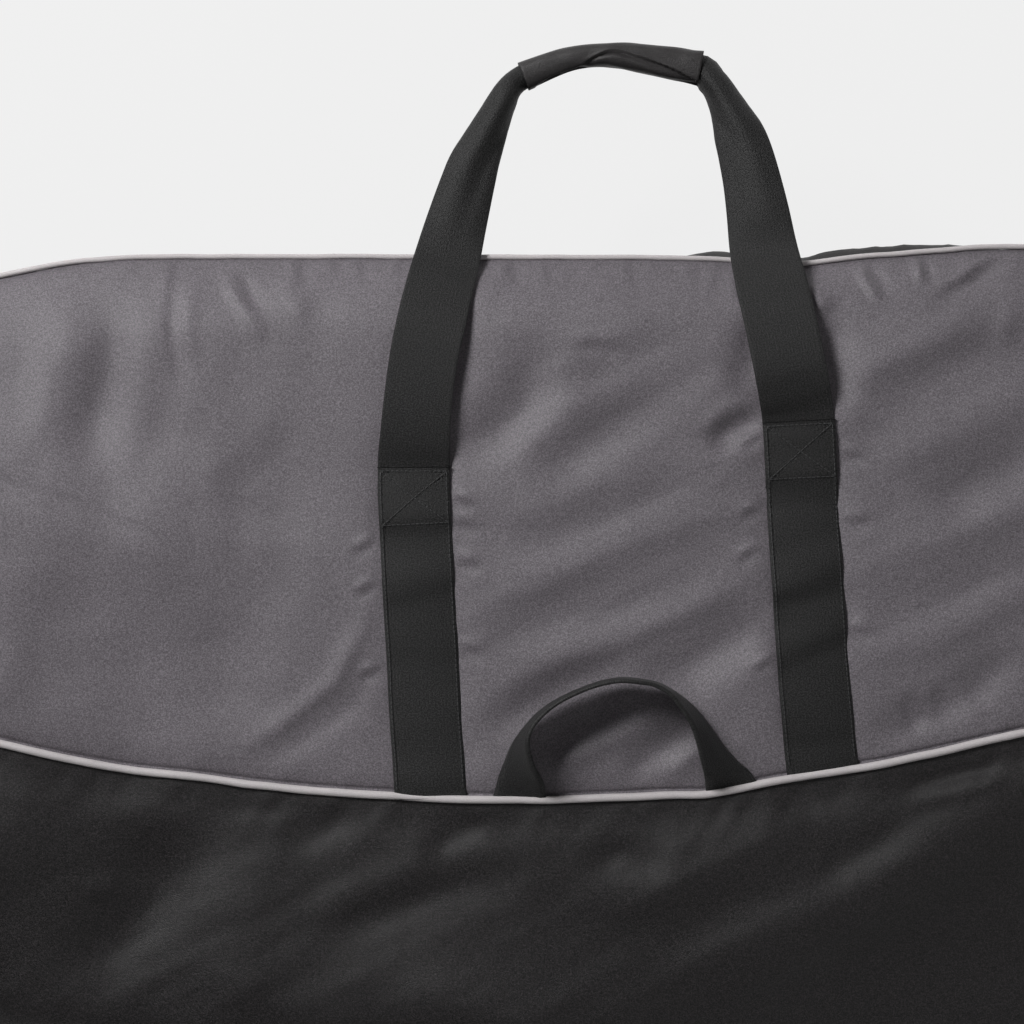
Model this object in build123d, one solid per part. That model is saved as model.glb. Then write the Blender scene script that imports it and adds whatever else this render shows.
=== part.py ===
"""Padded snowboard bag: a long soft case that lies on its back panel and opens like a clamshell.

Frame: millimetres, +Z up, origin at the centre of the back panel's outer face. X runs along the bag,
+Y points to the long edge with the carry handles, and the front panel faces +Z.
"""

import os
from math import atan2, cos, degrees, hypot, pi, sin, tan

from build123d import *

# ---- driving dimensions, millimetres -------------------------------------------------------------
bag_length = 1650.0
bag_width = 440.0            # across the panels, between the shoulders
end_width = 220.0            # across the panels, at the corners of each end
bag_depth = 150.0            # back face to the front panel's edge
shoulder_x = 275.0           # where the long edges start to taper
shoulder_radius = 300.0
end_radius = 100.0

shell_thick = 1.2            # coated polyester
foam_thick = 5.0             # closed-cell padding
lining_thick = 0.8
gusset_thick = 2.5
crown_margin = 8.0           # flat seam allowance round the front panel
crown_run = 34.0             # slope from the seam allowance up to the crown
crown_rise = 18.0            # how far the padded front stands proud of its edge

piping_radius = 1.9
seam_piping_width = 3.8
seam_piping_proud = 1.6
seam_piping_end = 1.0        # from the edge, where the edge piping crosses it

zipper_tape_width = 15.0     # each side of the chain
zipper_tape_thick = 0.8
zipper_tape_recess = 1.2     # tape's outer face behind the gusset's outer face
zipper_opening = 15.0        # between the two gusset edges under the tapes, where the sliders run
coil_gap = 0.7               # between the two closed coils, where the slider's web runs
coil_width = 2.5
coil_proud = 1.2             # outside the gusset's outer face
hinge_length = 460.0         # unzipped stretch of the lower long edge, which is the lid's fabric hinge
hinge_gap = 0.6
end_stop_length = 4.0
end_stop_thick = 1.0

binding_height = 10.0
binding_thick = 1.2

strap_width = 38.0
strap_thick = 2.2
stitch_height = 0.4
stitch_width = 1.0
stitch_box_length = 30.0
stitch_inset = 2.8
free_webbing_thick = 1.8
fabric_clearance = 0.35      # a free strap above the cloth under it
fold_clearance = 0.4         # a free strap from the sewn strap that it continues
slot_clearance = 0.5

grip_height = 15.0
grip_wall_clearance = 0.3
core_width = 10.5
core_thick = 6.0

loop_width = 25.0
loop_thick = 2.0
loop_lift = 5.0              # gap under the middle of the loop

slider_length = 14.0
slider_width = 13.0
slider_plate = 1.2
slider_clearance = 0.3
slider_web_thick = 0.5
slider_web_length = 4.0
bail_length = 10.0
bail_width = 2.4
bail_height = 4.6
bail_bar = 1.5
pull_bar = 1.5
pull_thick = 1.5
pull_width = 9.0
pull_eye_length = 8.0
pull_length = 26.0
pull_arm = 1.8
pull_grip_length = 34.0
pull_grip_width = 11.0
pull_grip_thick = 4.0
slider_gap = 34.0            # between the two closed sliders
slider_place = 300.0         # along the flank from the shoulder to the middle of the pair

board_strap_x = 300.0
board_strap_width = 25.0
board_strap_thick = 1.6
board_strap_overlap = 90.0
board_strap_edge = 14.0      # from the strap's end to the gusset

# ---- derived sizes -------------------------------------------------------------------------------
half_length, half_width, half_end = bag_length / 2, bag_width / 2, end_width / 2
zip_z = bag_depth / 2
front_top = bag_depth + crown_rise
padding = shell_thick + foam_thick + lining_thick
strap_top = front_top + strap_thick
tall = bag_depth + 2 * crown_rise


def from_top(distance):
    """Y of a line this far inside the handle edge."""
    return half_width - distance


# Front cross seam, left to right: a shallow smile that climbs towards both ends.
seam_low = 284.7
seam_points = [
    (-half_length - 20, from_top(seam_low - 114)),
    (-570, from_top(seam_low - 73)),
    (-330, from_top(seam_low - 31)),
    (-190, from_top(seam_low - 8)),
    (-50, from_top(seam_low)),
    (60, from_top(seam_low - 4)),
    (215, from_top(seam_low - 33)),
    (480, from_top(seam_low - 84)),
    (half_length + 20, from_top(seam_low - 129)),
]

# Sewn straps: where the free handle starts, and where the strap enters the cross seam.
strap_heads = {"left": (-106.2, from_top(110.6)), "right": (95.2, from_top(86.2))}
strap_feet = {"left": (-98.0, from_top(295.0)), "right": (107.2, from_top(295.0))}

# Free handle, from the left head over the grip to the right head:
# x, distance beyond the handle edge, width, thickness, share of the way from the panel to the grip.
left_leg = [
    (-102.5, -62.0, 37.5, 1.8, 0.0),
    (-89.5, -2.0, 36.0, 1.8, 0.0),
    (-84.5, 19.5, 32.5, 2.0, 0.12),
    (-78.5, 41.5, 29.0, 2.4, 0.30),
    (-71.0, 63.5, 24.0, 3.4, 0.55),
    (-62.5, 81.0, 16.0, 5.0, 0.82),
]
grip_line = [
    (-49.0, 99.5, 15.0),
    (-35.5, 104.5, 14.0),
    (-22.5, 108.5, 12.6),
    (-8.0, 110.5, 13.2),
    (6.0, 110.0, 15.2),
    (21.0, 108.0, 16.8),
    (33.5, 106.0, 17.8),
    (46.0, 103.5, 19.0),
]
right_leg = [
    (55.5, 93.5, 16.0, 5.0, 0.85),
    (60.5, 84.0, 21.0, 3.6, 0.68),
    (65.0, 66.0, 27.0, 2.6, 0.42),
    (70.5, 44.0, 29.5, 2.2, 0.24),
    (74.5, 19.5, 33.0, 2.0, 0.10),
    (78.0, -2.0, 36.0, 1.8, 0.0),
    (88.0, -49.0, 38.0, 1.8, 0.0),
]
grip_z = bag_depth - 14      # the grip hangs just below the front face
loop_feet = ((-51.0, from_top(283.0)), (59.0, from_top(279.5)))
loop_depth = 62.0            # how far the loop reaches towards the handle edge



# ---- shared outlines -----------------------------------------------------------------------------
def outline(inset=0.0):
    """The bag seen from the front: an eight-sided outline with rounded shoulders and ends."""
    corners = [
        (shoulder_x, half_width), (half_length, half_end),
        (half_length, -half_end), (shoulder_x, -half_width),
        (-shoulder_x, -half_width), (-half_length, -half_end),
        (-half_length, half_end), (-shoulder_x, half_width),
    ]
    face = Polygon(*corners, align=None)
    shoulders = [v for v in face.vertices() if abs(v.X) < (shoulder_x + half_length) / 2]
    face = fillet(shoulders, shoulder_radius)
    ends = [v for v in face.vertices() if abs(v.X) > half_length - 0.01]
    face = fillet(ends, end_radius)
    return offset(face, amount=-inset) if inset else face


def rise(face, low, high):
    """A flat shape drawn at z = 0, made solid between two heights."""
    return Pos(0, 0, low) * extrude(face, amount=high - low, dir=(0, 0, 1))


def slab(inset, low, high):
    """Full outline, pulled in by inset, between two heights."""
    return rise(outline(inset), low, high)


def ring(outer_inset, inner_inset, low, high):
    """A wall that follows the outline."""
    return slab(outer_inset, low, high) - slab(inner_inset, low, high)


def hinge_window(reach=40.0):
    """The unzipped stretch of the lower edge, as a block that cuts or keeps it."""
    return Pos(0, -half_width, zip_z) * Box(hinge_length, 2 * reach, 2 * tall)


def crown(top_of_edge):
    """The padded middle of the front, standing on a plane at this height."""
    low = Pos(0, 0, top_of_edge) * outline(crown_margin)
    high = Pos(0, 0, top_of_edge + crown_rise) * outline(crown_margin + crown_run)
    return loft([low, high], ruled=True)


def front_layer(drop, thick, inset):
    """One layer of the front panel, its upper face this far under the outside of the front."""
    top = bag_depth - drop
    return slab(inset, top - thick, top) + crown(top) - crown(top - thick)


def above_seam(shift=0.0):
    """Everything on the handle side of the cross seam, moved by shift."""
    points = [(x, y + shift) for x, y in seam_points]
    far = bag_width
    rest = Polyline(points[-1], (points[-1][0], far), (points[0][0], far), points[0])
    return rise(make_face([Spline(*points), rest]), 0, 2 * tall)


def hinge_direction():
    """Unit vector along the line that joins the two strap heads."""
    (x0, y0), (x1, y1) = strap_heads["left"], strap_heads["right"]
    length = hypot(x1 - x0, y1 - y0)
    return (x1 - x0) / length, (y1 - y0) / length


def strap_plan(side, grow=0.0):
    """Outline of a sewn strap: its upper end lies on the handle's hinge line."""
    (hx, hy), (fx, fy) = strap_heads[side], strap_feet[side]
    ux, uy = hinge_direction()
    half = strap_width / 2 + grow
    return Polygon(
        (hx - half * ux, hy - half * uy), (hx + half * ux, hy + half * uy),
        (fx + half, fy), (fx - half, fy), align=None,
    )


# ---- panels, padding, gussets --------------------------------------------------------------------
def front_panels():
    """Upper and lower front cloth and the piping between them."""
    shell = front_layer(0, shell_thick, 0)
    half_bead = seam_piping_width / 2
    over, under = above_seam(half_bead), above_seam(-half_bead)
    bead_layer = front_layer(-seam_piping_proud, seam_piping_proud + shell_thick, seam_piping_end)
    return {
        "front_upper_panel": shell & over,
        "front_lower_panel": shell - under,
        "front_seam_piping": (bead_layer & under) - over,
    }


def back_layers():
    """Back cloth, padding and lining, flat on the floor."""
    first, second = shell_thick, shell_thick + foam_thick
    return {
        "back_panel": slab(0, 0, first),
        "back_foam": slab(gusset_thick, first, second),
        "back_lining": slab(gusset_thick, second, padding),
    }


def front_padding():
    """Foam and lining under the front cloth."""
    return {
        "front_foam": front_layer(shell_thick, foam_thick, gusset_thick),
        "front_lining": front_layer(shell_thick + foam_thick, lining_thick, gusset_thick),
    }


def sewn_panels(name, wall):
    """A side wall as the panels it is sewn from: three along each long edge and one round each end."""
    taper = atan2(half_width - half_end, half_length - shoulder_x)
    end_x = half_length - end_radius * tan((pi / 2 - taper) / 2) * cos(taper)
    cuts = (-end_x, -shoulder_x, shoulder_x, end_x)
    parts = {}
    for edge, sign in (("upper", 1), ("lower", -1)):
        panels = []
        for low, high in zip(cuts, cuts[1:]):
            keep = Pos((low + high) / 2, sign * half_width, 0) * Box(high - low, bag_width, 2 * tall)
            panels.append(Solid((wall & keep).solids()[0].wrapped))
        parts[f"{name}_{edge}"] = Compound(children=panels)
    for edge, sign in (("left", -1), ("right", 1)):
        keep = Pos(sign * (end_x + half_length), 0, 0) * Box(2 * half_length, bag_width, 2 * tall)
        parts[f"{name}_{edge}"] = wall & keep
    return parts


def gussets():
    """The side wall in two halves: they meet at the fabric hinge, and hold the zipper elsewhere."""
    tape_edge = coil_gap / 2 + zipper_tape_width
    lip = zipper_tape_recess + zipper_tape_thick
    window = hinge_window()
    back = ring(0, gusset_thick, shell_thick, zip_z - tape_edge)
    back += ring(lip, gusset_thick, zip_z - tape_edge, zip_z - zipper_opening / 2)
    back += ring(0, gusset_thick, zip_z - tape_edge, zip_z - hinge_gap / 2) & window
    front = ring(0, gusset_thick, zip_z + tape_edge, bag_depth - shell_thick)
    front += ring(lip, gusset_thick, zip_z + zipper_opening / 2, zip_z + tape_edge)
    front += ring(0, gusset_thick, zip_z + hinge_gap / 2, zip_z + tape_edge) & window
    return {**sewn_panels("back_gusset", back), **sewn_panels("front_gusset", front)}


def bindings():
    """Tape over the raw seam edges inside the bag."""
    inner = gusset_thick + binding_thick
    low, high = padding, bag_depth - padding
    return {
        "back_seam_binding": ring(gusset_thick, inner, low, low + binding_height),
        "front_seam_binding": ring(gusset_thick, inner, high - binding_height, high),
    }


def edge_piping(spread, z):
    """A round bead that follows the outline, this far outside it."""
    path = outline(-spread).faces()[0].outer_wire()
    start = path @ 0
    section = Plane(origin=(start.X, start.Y, z), z_dir=path % 0) * Circle(piping_radius)
    return sweep(section, path=path.moved(Location((0, 0, z))))


def pipings():
    """Light beads on the front and back edges of the gusset."""
    corner = piping_radius * cos(pi / 4)
    return {
        "front_edge_piping": edge_piping(corner, bag_depth + corner),
        "back_edge_piping": edge_piping(piping_radius, piping_radius + shell_thick),
    }


# ---- zipper --------------------------------------------------------------------------------------
def zipper_chain():
    """Tapes and coils round the outline, apart from the fabric hinge."""
    window = hinge_window()
    tape_inner = zipper_tape_recess + zipper_tape_thick
    parts = {}
    for side, sign in (("back", -1), ("front", 1)):
        near, far = coil_gap / 2, coil_gap / 2 + zipper_tape_width
        low, high = sorted((zip_z + sign * (near + 0.2), zip_z + sign * far))
        parts[f"zipper_tape_{side}"] = ring(zipper_tape_recess, tape_inner, low, high) - window
        low, high = sorted((zip_z + sign * near, zip_z + sign * (near + coil_width)))
        parts[f"zipper_coil_{side}"] = ring(-coil_proud, zipper_tape_recess, low, high) - window
    return parts


def zipper_end_stops():
    """A metal stop at each end of the chain, clenched on the back tape."""
    y = -half_width + zipper_tape_recess
    low = zip_z - coil_gap / 2 - coil_width - end_stop_length
    stops = []
    for sign in (-1, 1):
        x = sign * (hinge_length / 2 + end_stop_length)
        stops.append(Pos(x, y - end_stop_thick / 2, low + end_stop_length / 2 - 0.1)
                     * Box(end_stop_length, end_stop_thick, end_stop_length - 0.2))
    return Compound(children=[Solid(s.solids()[0].wrapped) for s in stops])


def flank_plane(distance):
    """A plane on the upper right flank: X along the chain to the right, Z out of the bag."""
    dx, dy = half_length - shoulder_x, half_end - half_width
    length = hypot(dx, dy)
    ux, uy = dx / length, dy / length
    origin = (shoulder_x + distance * ux, half_width + distance * uy, zip_z)
    return Plane(origin=origin, x_dir=(ux, uy, 0), z_dir=(-uy, ux, 0))


def slider():
    """Zipper slider on its own plane: two plates, the web between the coils, and the bail."""
    outer_low = coil_proud + slider_clearance
    inner_high = -(zipper_tape_recess + zipper_tape_thick + slider_clearance)
    plate = Box(slider_length, slider_width, slider_plate)
    plate = fillet(plate.edges().filter_by(Axis.Z), 3)
    outer = Pos(0, 0, outer_low + slider_plate / 2) * plate
    inner = Pos(0, 0, inner_high - slider_plate / 2) * plate
    web_height = outer_low - inner_high
    web = Pos(0, 0, inner_high + web_height / 2) * Box(slider_web_length, slider_web_thick, web_height)
    base = outer_low + slider_plate
    bail = Pos(0, 0, base + bail_height / 2) * Box(bail_length, bail_width, bail_height)
    bail = fillet(bail.edges().filter_by(Axis.Y).group_by(Axis.Z)[-1], 1.6)
    window = Pos(0, 0, base + (bail_height - bail_bar) / 2) * Box(
        bail_length - 2 * bail_bar, 2 * bail_width, bail_height - bail_bar)
    return outer + inner + web + (bail - window)


def pull_axis_height():
    """Height of the pull's pivot over the chain's outer plane."""
    base = coil_proud + slider_clearance + slider_plate
    return base + (bail_height - bail_bar) / 2


def pull_tab():
    """Metal pull with an eye round the bail, lying along the chain, its pivot at the origin."""
    start = -pull_bar / 2
    body = Pos(start + pull_length / 2, 0, 0) * Box(pull_length, pull_width, pull_thick)
    body = fillet(body.edges().filter_by(Axis.Z), 2.0)
    eye = Pos(pull_bar / 2 + pull_eye_length / 2, 0, 0) * Box(
        pull_eye_length, pull_width - 2 * pull_arm, 2 * pull_thick)
    return body - eye


def pull_grip():
    """Moulded grip over the end of the pull."""
    start = pull_bar / 2 + pull_eye_length + 4
    grip = Pos(start + pull_grip_length / 2, 0, 0) * Box(
        pull_grip_length, pull_grip_width, pull_grip_thick)
    grip = fillet(grip.edges().filter_by(Axis.Z), 4.5)
    grip = fillet(grip.faces().sort_by(Axis.Z)[-1].edges(), 1.2)
    return grip - pull_tab()


def sliders():
    """The closed pair on the right flank, each pull lying away from the other slider."""
    parts = {}
    for name, sign in (("left", -1), ("right", 1)):
        plane = flank_plane(slider_place + sign * slider_gap / 2)
        turn = 180 if sign < 0 else 0
        place = plane.location * Rot(0, 0, turn)
        lifted = place * Pos(0, 0, pull_axis_height())
        parts[f"slider_{name}"] = place * slider()
        parts[f"pull_tab_{name}"] = lifted * pull_tab()
        parts[f"pull_grip_{name}"] = lifted * pull_grip()
    return parts


# ---- handles -------------------------------------------------------------------------------------
def sewn_straps():
    """The two straps sewn down on the front, from the cross seam up to the handle."""
    clear_of_seam = above_seam(seam_piping_width / 2)
    return {f"front_strap_{side}": rise(strap_plan(side), front_top, strap_top) & clear_of_seam
            for side in ("left", "right")}


def box_stitch(side):
    """A stitched box with its cross, on top of a front strap."""
    hx, hy = strap_heads[side]
    fx, fy = strap_feet[side]
    ux, uy = hinge_direction()
    wide, long = strap_width - 2 * stitch_inset, stitch_box_length - 2 * stitch_inset
    frame = Rectangle(wide, long) - Rectangle(wide - 2 * stitch_width, long - 2 * stitch_width)
    slope = degrees(atan2(long, wide))
    span = hypot(wide, long) - 2 * stitch_width
    cross = Rot(0, 0, slope) * Rectangle(span, stitch_width) + Rot(0, 0, -slope) * Rectangle(span, stitch_width)
    lean = degrees(atan2(uy, ux)) / 2
    along = stitch_box_length / 2 / (hy - fy)
    centre = (hx + (fx - hx) * along, hy - stitch_box_length / 2)
    flat = Pos(centre[0], centre[1], 0) * Rot(0, 0, lean) * (frame + cross)
    return rise(flat, strap_top, strap_top + stitch_height)


def section_plane(points, index, along=None):
    """A plane across the path at a point, its X level."""
    before, after = points[max(index - 1, 0)], points[min(index + 1, len(points) - 1)]
    way = Vector(*after) - Vector(*before) if along is None else Vector(*along)
    level = way.cross(Vector(0, 0, 1)).normalized()
    return Plane(origin=points[index], x_dir=level, z_dir=way)


def handle_stations():
    """Points, widths and thicknesses of the handle's webbing, from the left head to the right head."""
    ux, uy = hinge_direction()
    leg_z = front_top + fabric_clearance + free_webbing_thick / 2
    stations = []

    def head(side):
        hx, hy = strap_heads[side]
        point = (hx - uy * fold_clearance, hy + ux * fold_clearance, leg_z)
        return point, strap_width, free_webbing_thick

    def leg(rows):
        return [((x, half_width + d, leg_z + (grip_z - leg_z) * share), w, t)
                for x, d, w, t, share in rows]

    stations.append(head("left"))
    stations += leg(left_leg)
    stations += [((x, half_width + d, grip_z), core_width, core_thick) for x, d, _ in grip_line]
    stations += leg(right_leg)
    stations.append(head("right"))
    return stations


def handle_planes(stations):
    """The section planes of a handle; the two end ones stand on the hinge line."""
    points = [p for p, _, _ in stations]
    ux, uy = hinge_direction()
    planes = [section_plane(points, i) for i in range(len(points))]
    planes[0] = section_plane(points, 0, along=(-uy, ux, 0))
    planes[-1] = section_plane(points, len(points) - 1, along=(uy, -ux, 0))
    return planes


def handle_webbing(stations):
    """One continuous strap: flat at the heads, folded small through the grip."""
    planes = handle_planes(stations)
    return loft([pl * Rectangle(w, t) for pl, (_, w, t) in zip(planes, stations)], ruled=True)


def grip_wrap(stations):
    """The cloth wrap round the folded webbing."""
    first = 1 + len(left_leg)
    span = range(first, first + len(grip_line))
    planes = handle_planes(stations)
    outer, bore = [], []
    for i, (_, _, wide) in zip(span, grip_line):
        outer.append(planes[i] * RectangleRounded(wide, grip_height, min(wide, grip_height) * 0.42))
        bore.append(planes[i] * Rectangle(core_width + 2 * grip_wall_clearance,
                                          core_thick + 2 * grip_wall_clearance))
    return loft(outer, ruled=True) - loft(bore, ruled=True)


def handles():
    """The carry handle and the wrap that is its grip."""
    stations = handle_stations()
    return {
        "front_handle_webbing": handle_webbing(stations),
        "handle_grip_wrap": grip_wrap(stations),
    }


def grab_loop(stations=17):
    """Small webbing loop: flat where it enters the seam, and on edge over the middle of its arch."""
    (left, left_y), (right, right_y) = loop_feet
    low = front_top + fabric_clearance + loop_thick / 2
    half_span = (right - left) / 2
    sections = []
    for i in range(stations):
        turn = pi * i / (stations - 1)
        twist = sin(turn) ** 0.8
        x = (left + right) / 2 - half_span * cos(turn)
        y = left_y + (right_y - left_y) * (1 - cos(turn)) / 2 + loop_depth * sin(turn)
        z = low + loop_width / 2 * sin(pi / 2 * twist) + loop_lift * twist
        way = Vector(sin(turn) * half_span, loop_depth * cos(turn), 0)
        outward = way.cross(Vector(0, 0, 1)).normalized()
        across = outward * cos(pi / 2 * twist) - Vector(0, 0, 1) * sin(pi / 2 * twist)
        plane = Plane(origin=(x, y, z), x_dir=across, z_dir=way)
        sections.append(plane * Rectangle(loop_width, loop_thick))
    return loft(sections, ruled=True) & above_seam(seam_piping_width / 2 + fold_clearance)


# ---- inside --------------------------------------------------------------------------------------
def board_straps():
    """Two hook-and-loop straps across the lining: the hook half laps over the loop half."""
    reach = half_width - gusset_thick - binding_thick - board_strap_edge
    parts = {}
    for name, sign in (("left", -1), ("right", 1)):
        x = sign * board_strap_x
        reach_here = reach - max(0.0, board_strap_x - shoulder_x) * 0.3
        lap = board_strap_overlap / 2
        loop_half = Pos(x, (-reach_here + lap) / 2, padding + board_strap_thick / 2) * Box(
            board_strap_width, reach_here + lap, board_strap_thick)
        flat = Pos(x, (reach_here + lap) / 2, padding + board_strap_thick / 2) * Box(
            board_strap_width, reach_here - lap - 1, board_strap_thick)
        lapped = Pos(x, 1.5, padding + board_strap_thick * 1.5) * Box(
            board_strap_width, 2 * lap + 6, board_strap_thick)
        parts[f"board_strap_loop_{name}"] = loop_half
        parts[f"board_strap_hook_{name}"] = flat + lapped
    return parts


# ---- build ---------------------------------------------------------------------------------------
def all_parts():
    """Every piece by its node name."""
    parts = {}
    parts.update(front_panels())
    parts.update(front_padding())
    parts.update(back_layers())
    parts.update(gussets())
    parts.update(bindings())
    parts.update(pipings())
    parts.update(zipper_chain())
    parts["zipper_end_stops"] = zipper_end_stops()
    parts.update(sliders())
    parts.update(sewn_straps())
    parts["front_box_stitching"] = Compound(children=[
        Solid(box_stitch(side).solids()[0].wrapped) for side in ("left", "right")])
    parts.update(handles())
    parts["grab_loop_webbing"] = grab_loop()
    parts.update(board_straps())
    return parts


os.makedirs("parts", exist_ok=True)
for node, shape in all_parts().items():
    export_step(shape, f"parts/{node}.step")
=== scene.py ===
"""Looks for the snowboard bag: cloth, webbing, piping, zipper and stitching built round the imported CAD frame.

Lengths inside this script are millimetres; mesh() turns them into metres.
"""

import math

import bpy
import numpy as np
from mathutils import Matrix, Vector


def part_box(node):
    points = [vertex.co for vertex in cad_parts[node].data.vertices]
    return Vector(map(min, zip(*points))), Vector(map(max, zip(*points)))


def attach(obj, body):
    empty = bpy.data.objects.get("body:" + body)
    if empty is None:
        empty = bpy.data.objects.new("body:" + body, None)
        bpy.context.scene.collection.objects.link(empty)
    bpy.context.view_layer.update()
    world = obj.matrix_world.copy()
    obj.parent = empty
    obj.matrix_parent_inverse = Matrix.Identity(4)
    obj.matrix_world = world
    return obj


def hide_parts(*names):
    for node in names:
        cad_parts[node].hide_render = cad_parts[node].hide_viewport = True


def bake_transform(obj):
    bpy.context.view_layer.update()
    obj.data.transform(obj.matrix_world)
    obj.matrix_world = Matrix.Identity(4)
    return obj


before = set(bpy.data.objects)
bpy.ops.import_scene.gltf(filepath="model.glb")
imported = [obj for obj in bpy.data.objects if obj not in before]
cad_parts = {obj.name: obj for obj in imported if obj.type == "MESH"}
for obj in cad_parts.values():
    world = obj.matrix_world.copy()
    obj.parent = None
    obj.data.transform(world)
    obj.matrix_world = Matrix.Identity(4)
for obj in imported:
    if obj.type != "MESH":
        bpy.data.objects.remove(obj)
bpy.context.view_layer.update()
MM = 0.001


def corners(node):
    """Lowest and highest corner of a CAD node, in millimetres."""
    low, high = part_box(node)
    return np.array(low) / MM, np.array(high) / MM


# ---- sizes taken from the frame --------------------------------------------------------------------
HALF_LENGTH, HALF_WIDTH = corners("back_panel")[1][:2]
ZIP_Z = (corners("zipper_coil_back")[1][2] + corners("zipper_coil_front")[0][2]) / 2
EDGE_Z = 2 * ZIP_Z
CROWN_Z = corners("front_strap_left")[0][2]
CROWN = CROWN_Z - EDGE_Z
SHOULDER_X, SHOULDER_R, TAPER, END_R = 275.0, 300.0, 0.2, 100.0
LEAN = math.atan(TAPER)
END_ARC_X = HALF_LENGTH - END_R
END_ARC_Y = 28.0
HINGE_HALF = -corners("zipper_end_stops")[0][0] - 6


# ---- small numeric helpers -------------------------------------------------------------------------
def smoothstep(low, high, x):
    t = np.clip((x - low) / (high - low), 0, 1)
    return t * t * (3 - 2 * t)


def curve(points, x):
    """Smooth curve through (x, value) points, straight beyond its ends."""
    p = np.array(points, float)
    xs, ys = p[:, 0], p[:, 1]
    d = np.diff(ys) / np.diff(xs)
    m = np.concatenate([[d[0]], (d[1:] * np.diff(xs)[:-1] + d[:-1] * np.diff(xs)[1:]) / (xs[2:] - xs[:-2]), [d[-1]]])
    x = np.asarray(x, float)
    i = np.clip(np.searchsorted(xs, x) - 1, 0, len(xs) - 2)
    h = xs[i + 1] - xs[i]
    t = (x - xs[i]) / h
    inside = ((1 + 2 * t) * (1 - t) ** 2 * ys[i] + t * (1 - t) ** 2 * h * m[i]
              + t * t * (3 - 2 * t) * ys[i + 1] + t * t * (t - 1) * h * m[i + 1])
    inside = np.where(x > xs[-1], ys[-1] + m[-1] * (x - xs[-1]), inside)
    return np.where(x < xs[0], ys[0] + m[0] * (x - xs[0]), inside)


def noise(x, y, scale, seed):
    """Smooth value noise, about -1 to 1, with lumps of this size."""
    n = 256
    table = np.random.default_rng(seed).uniform(-1, 1, (n, n))
    x, y = np.asarray(x, float) / scale + 91.3, np.asarray(y, float) / scale + 47.7
    i, j = np.floor(x).astype(int), np.floor(y).astype(int)
    fx, fy = x - i, y - j
    fx, fy = fx * fx * (3 - 2 * fx), fy * fy * (3 - 2 * fy)
    a, b = table[i % n, j % n], table[(i + 1) % n, j % n]
    c, d = table[i % n, (j + 1) % n], table[(i + 1) % n, (j + 1) % n]
    return (a * (1 - fx) + b * fx) * (1 - fy) + (c * (1 - fx) + d * fx) * fy


def crumple(x, y, scale, seed):
    """Ridged noise, which looks like creased cloth: sharp ridges, wide hollows."""
    total, weight = 0.0, 1.0
    for octave in range(3):
        total = total + weight * (1 - 2 * np.abs(noise(x, y, scale / 2 ** octave, seed + octave)))
        weight *= 0.5
    return total / 1.75 - 0.35


# ---- outline ---------------------------------------------------------------------------------------
def half_width(x):
    """Half the bag's width at this X."""
    x = np.abs(np.asarray(x, float))
    shoulder_start = SHOULDER_X - SHOULDER_R * math.tan(LEAN / 2)
    shoulder_end = shoulder_start + SHOULDER_R * math.sin(LEAN)
    end_start = END_ARC_X + END_R * math.sin(LEAN)
    arc = HALF_WIDTH - SHOULDER_R + np.sqrt(np.maximum(SHOULDER_R ** 2 - (x - shoulder_start) ** 2, 0))
    flank = HALF_WIDTH - (x - SHOULDER_X) * TAPER
    end = END_ARC_Y + np.sqrt(np.maximum(END_R ** 2 - (x - END_ARC_X) ** 2, 0))
    beyond = np.where(x < shoulder_end, arc, np.where(x < end_start, flank, end))
    return np.where(x < shoulder_start, HALF_WIDTH, beyond)


def whole_length(step, last_angle, count):
    """X of columns over the whole bag, closer together round each end."""
    end = END_ARC_X + END_R * np.sin(np.linspace(0, last_angle, count))
    x = np.concatenate([np.arange(0, END_ARC_X, step), end])
    return np.concatenate([-x[:0:-1], x])


def outline_ring():
    """Closed outline, anticlockwise from the middle of the lower edge: points, outward normals, runs, whole run."""
    t = np.linspace(0, math.pi / 2, 60)
    xs = np.concatenate([np.arange(0, END_ARC_X, 2.0), END_ARC_X + END_R * np.sin(t)])
    quarter = np.stack([xs, half_width(xs)], 1)
    upper = np.concatenate([quarter[::-1], quarter[1:] * [-1, 1]])
    side = np.array([[HALF_LENGTH, y] for y in np.arange(-END_ARC_Y + 2, END_ARC_Y - 1, 2.0)])
    lower_right = quarter * [1, -1]
    lower_left = (quarter[1:] * [-1, -1])[::-1]
    raw = np.concatenate([lower_right, side, upper, side[::-1] * [-1, 1], lower_left])
    closed = np.vstack([raw, raw[:1]])
    run = np.concatenate([[0], np.cumsum(np.hypot(*np.diff(closed, axis=0).T))])
    count = int(round(run[-1] / RING_STEP))
    s = np.arange(count) * run[-1] / count
    pts = np.stack([np.interp(s, run, closed[:, k]) for k in (0, 1)], 1)
    tangent = np.roll(pts, -1, 0) - np.roll(pts, 1, 0)
    tangent /= np.linalg.norm(tangent, axis=1)[:, None]
    return pts, np.stack([tangent[:, 1], -tangent[:, 0]], 1), s, run[-1]


RING_STEP = 4.0
RING = outline_ring()
TABLE_LOW = np.array([-HALF_LENGTH - 10, -HALF_WIDTH - 10])


def table_points(step):
    """X and Y of a table of points this far apart over the whole bag."""
    axes = [np.linspace(low, -low, int(-2 * low / step) + 1) for low in TABLE_LOW]
    return np.meshgrid(*axes, indexing="ij")


def between(table, u, v):
    """A value from a table at these places along its two axes, in steps of the table."""
    i, j = u.astype(int), v.astype(int)
    u, v = u - i, v - j
    return ((table[i, j] * (1 - u) + table[i + 1, j] * u) * (1 - v)
            + (table[i, j + 1] * (1 - u) + table[i + 1, j + 1] * u) * v)


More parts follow.
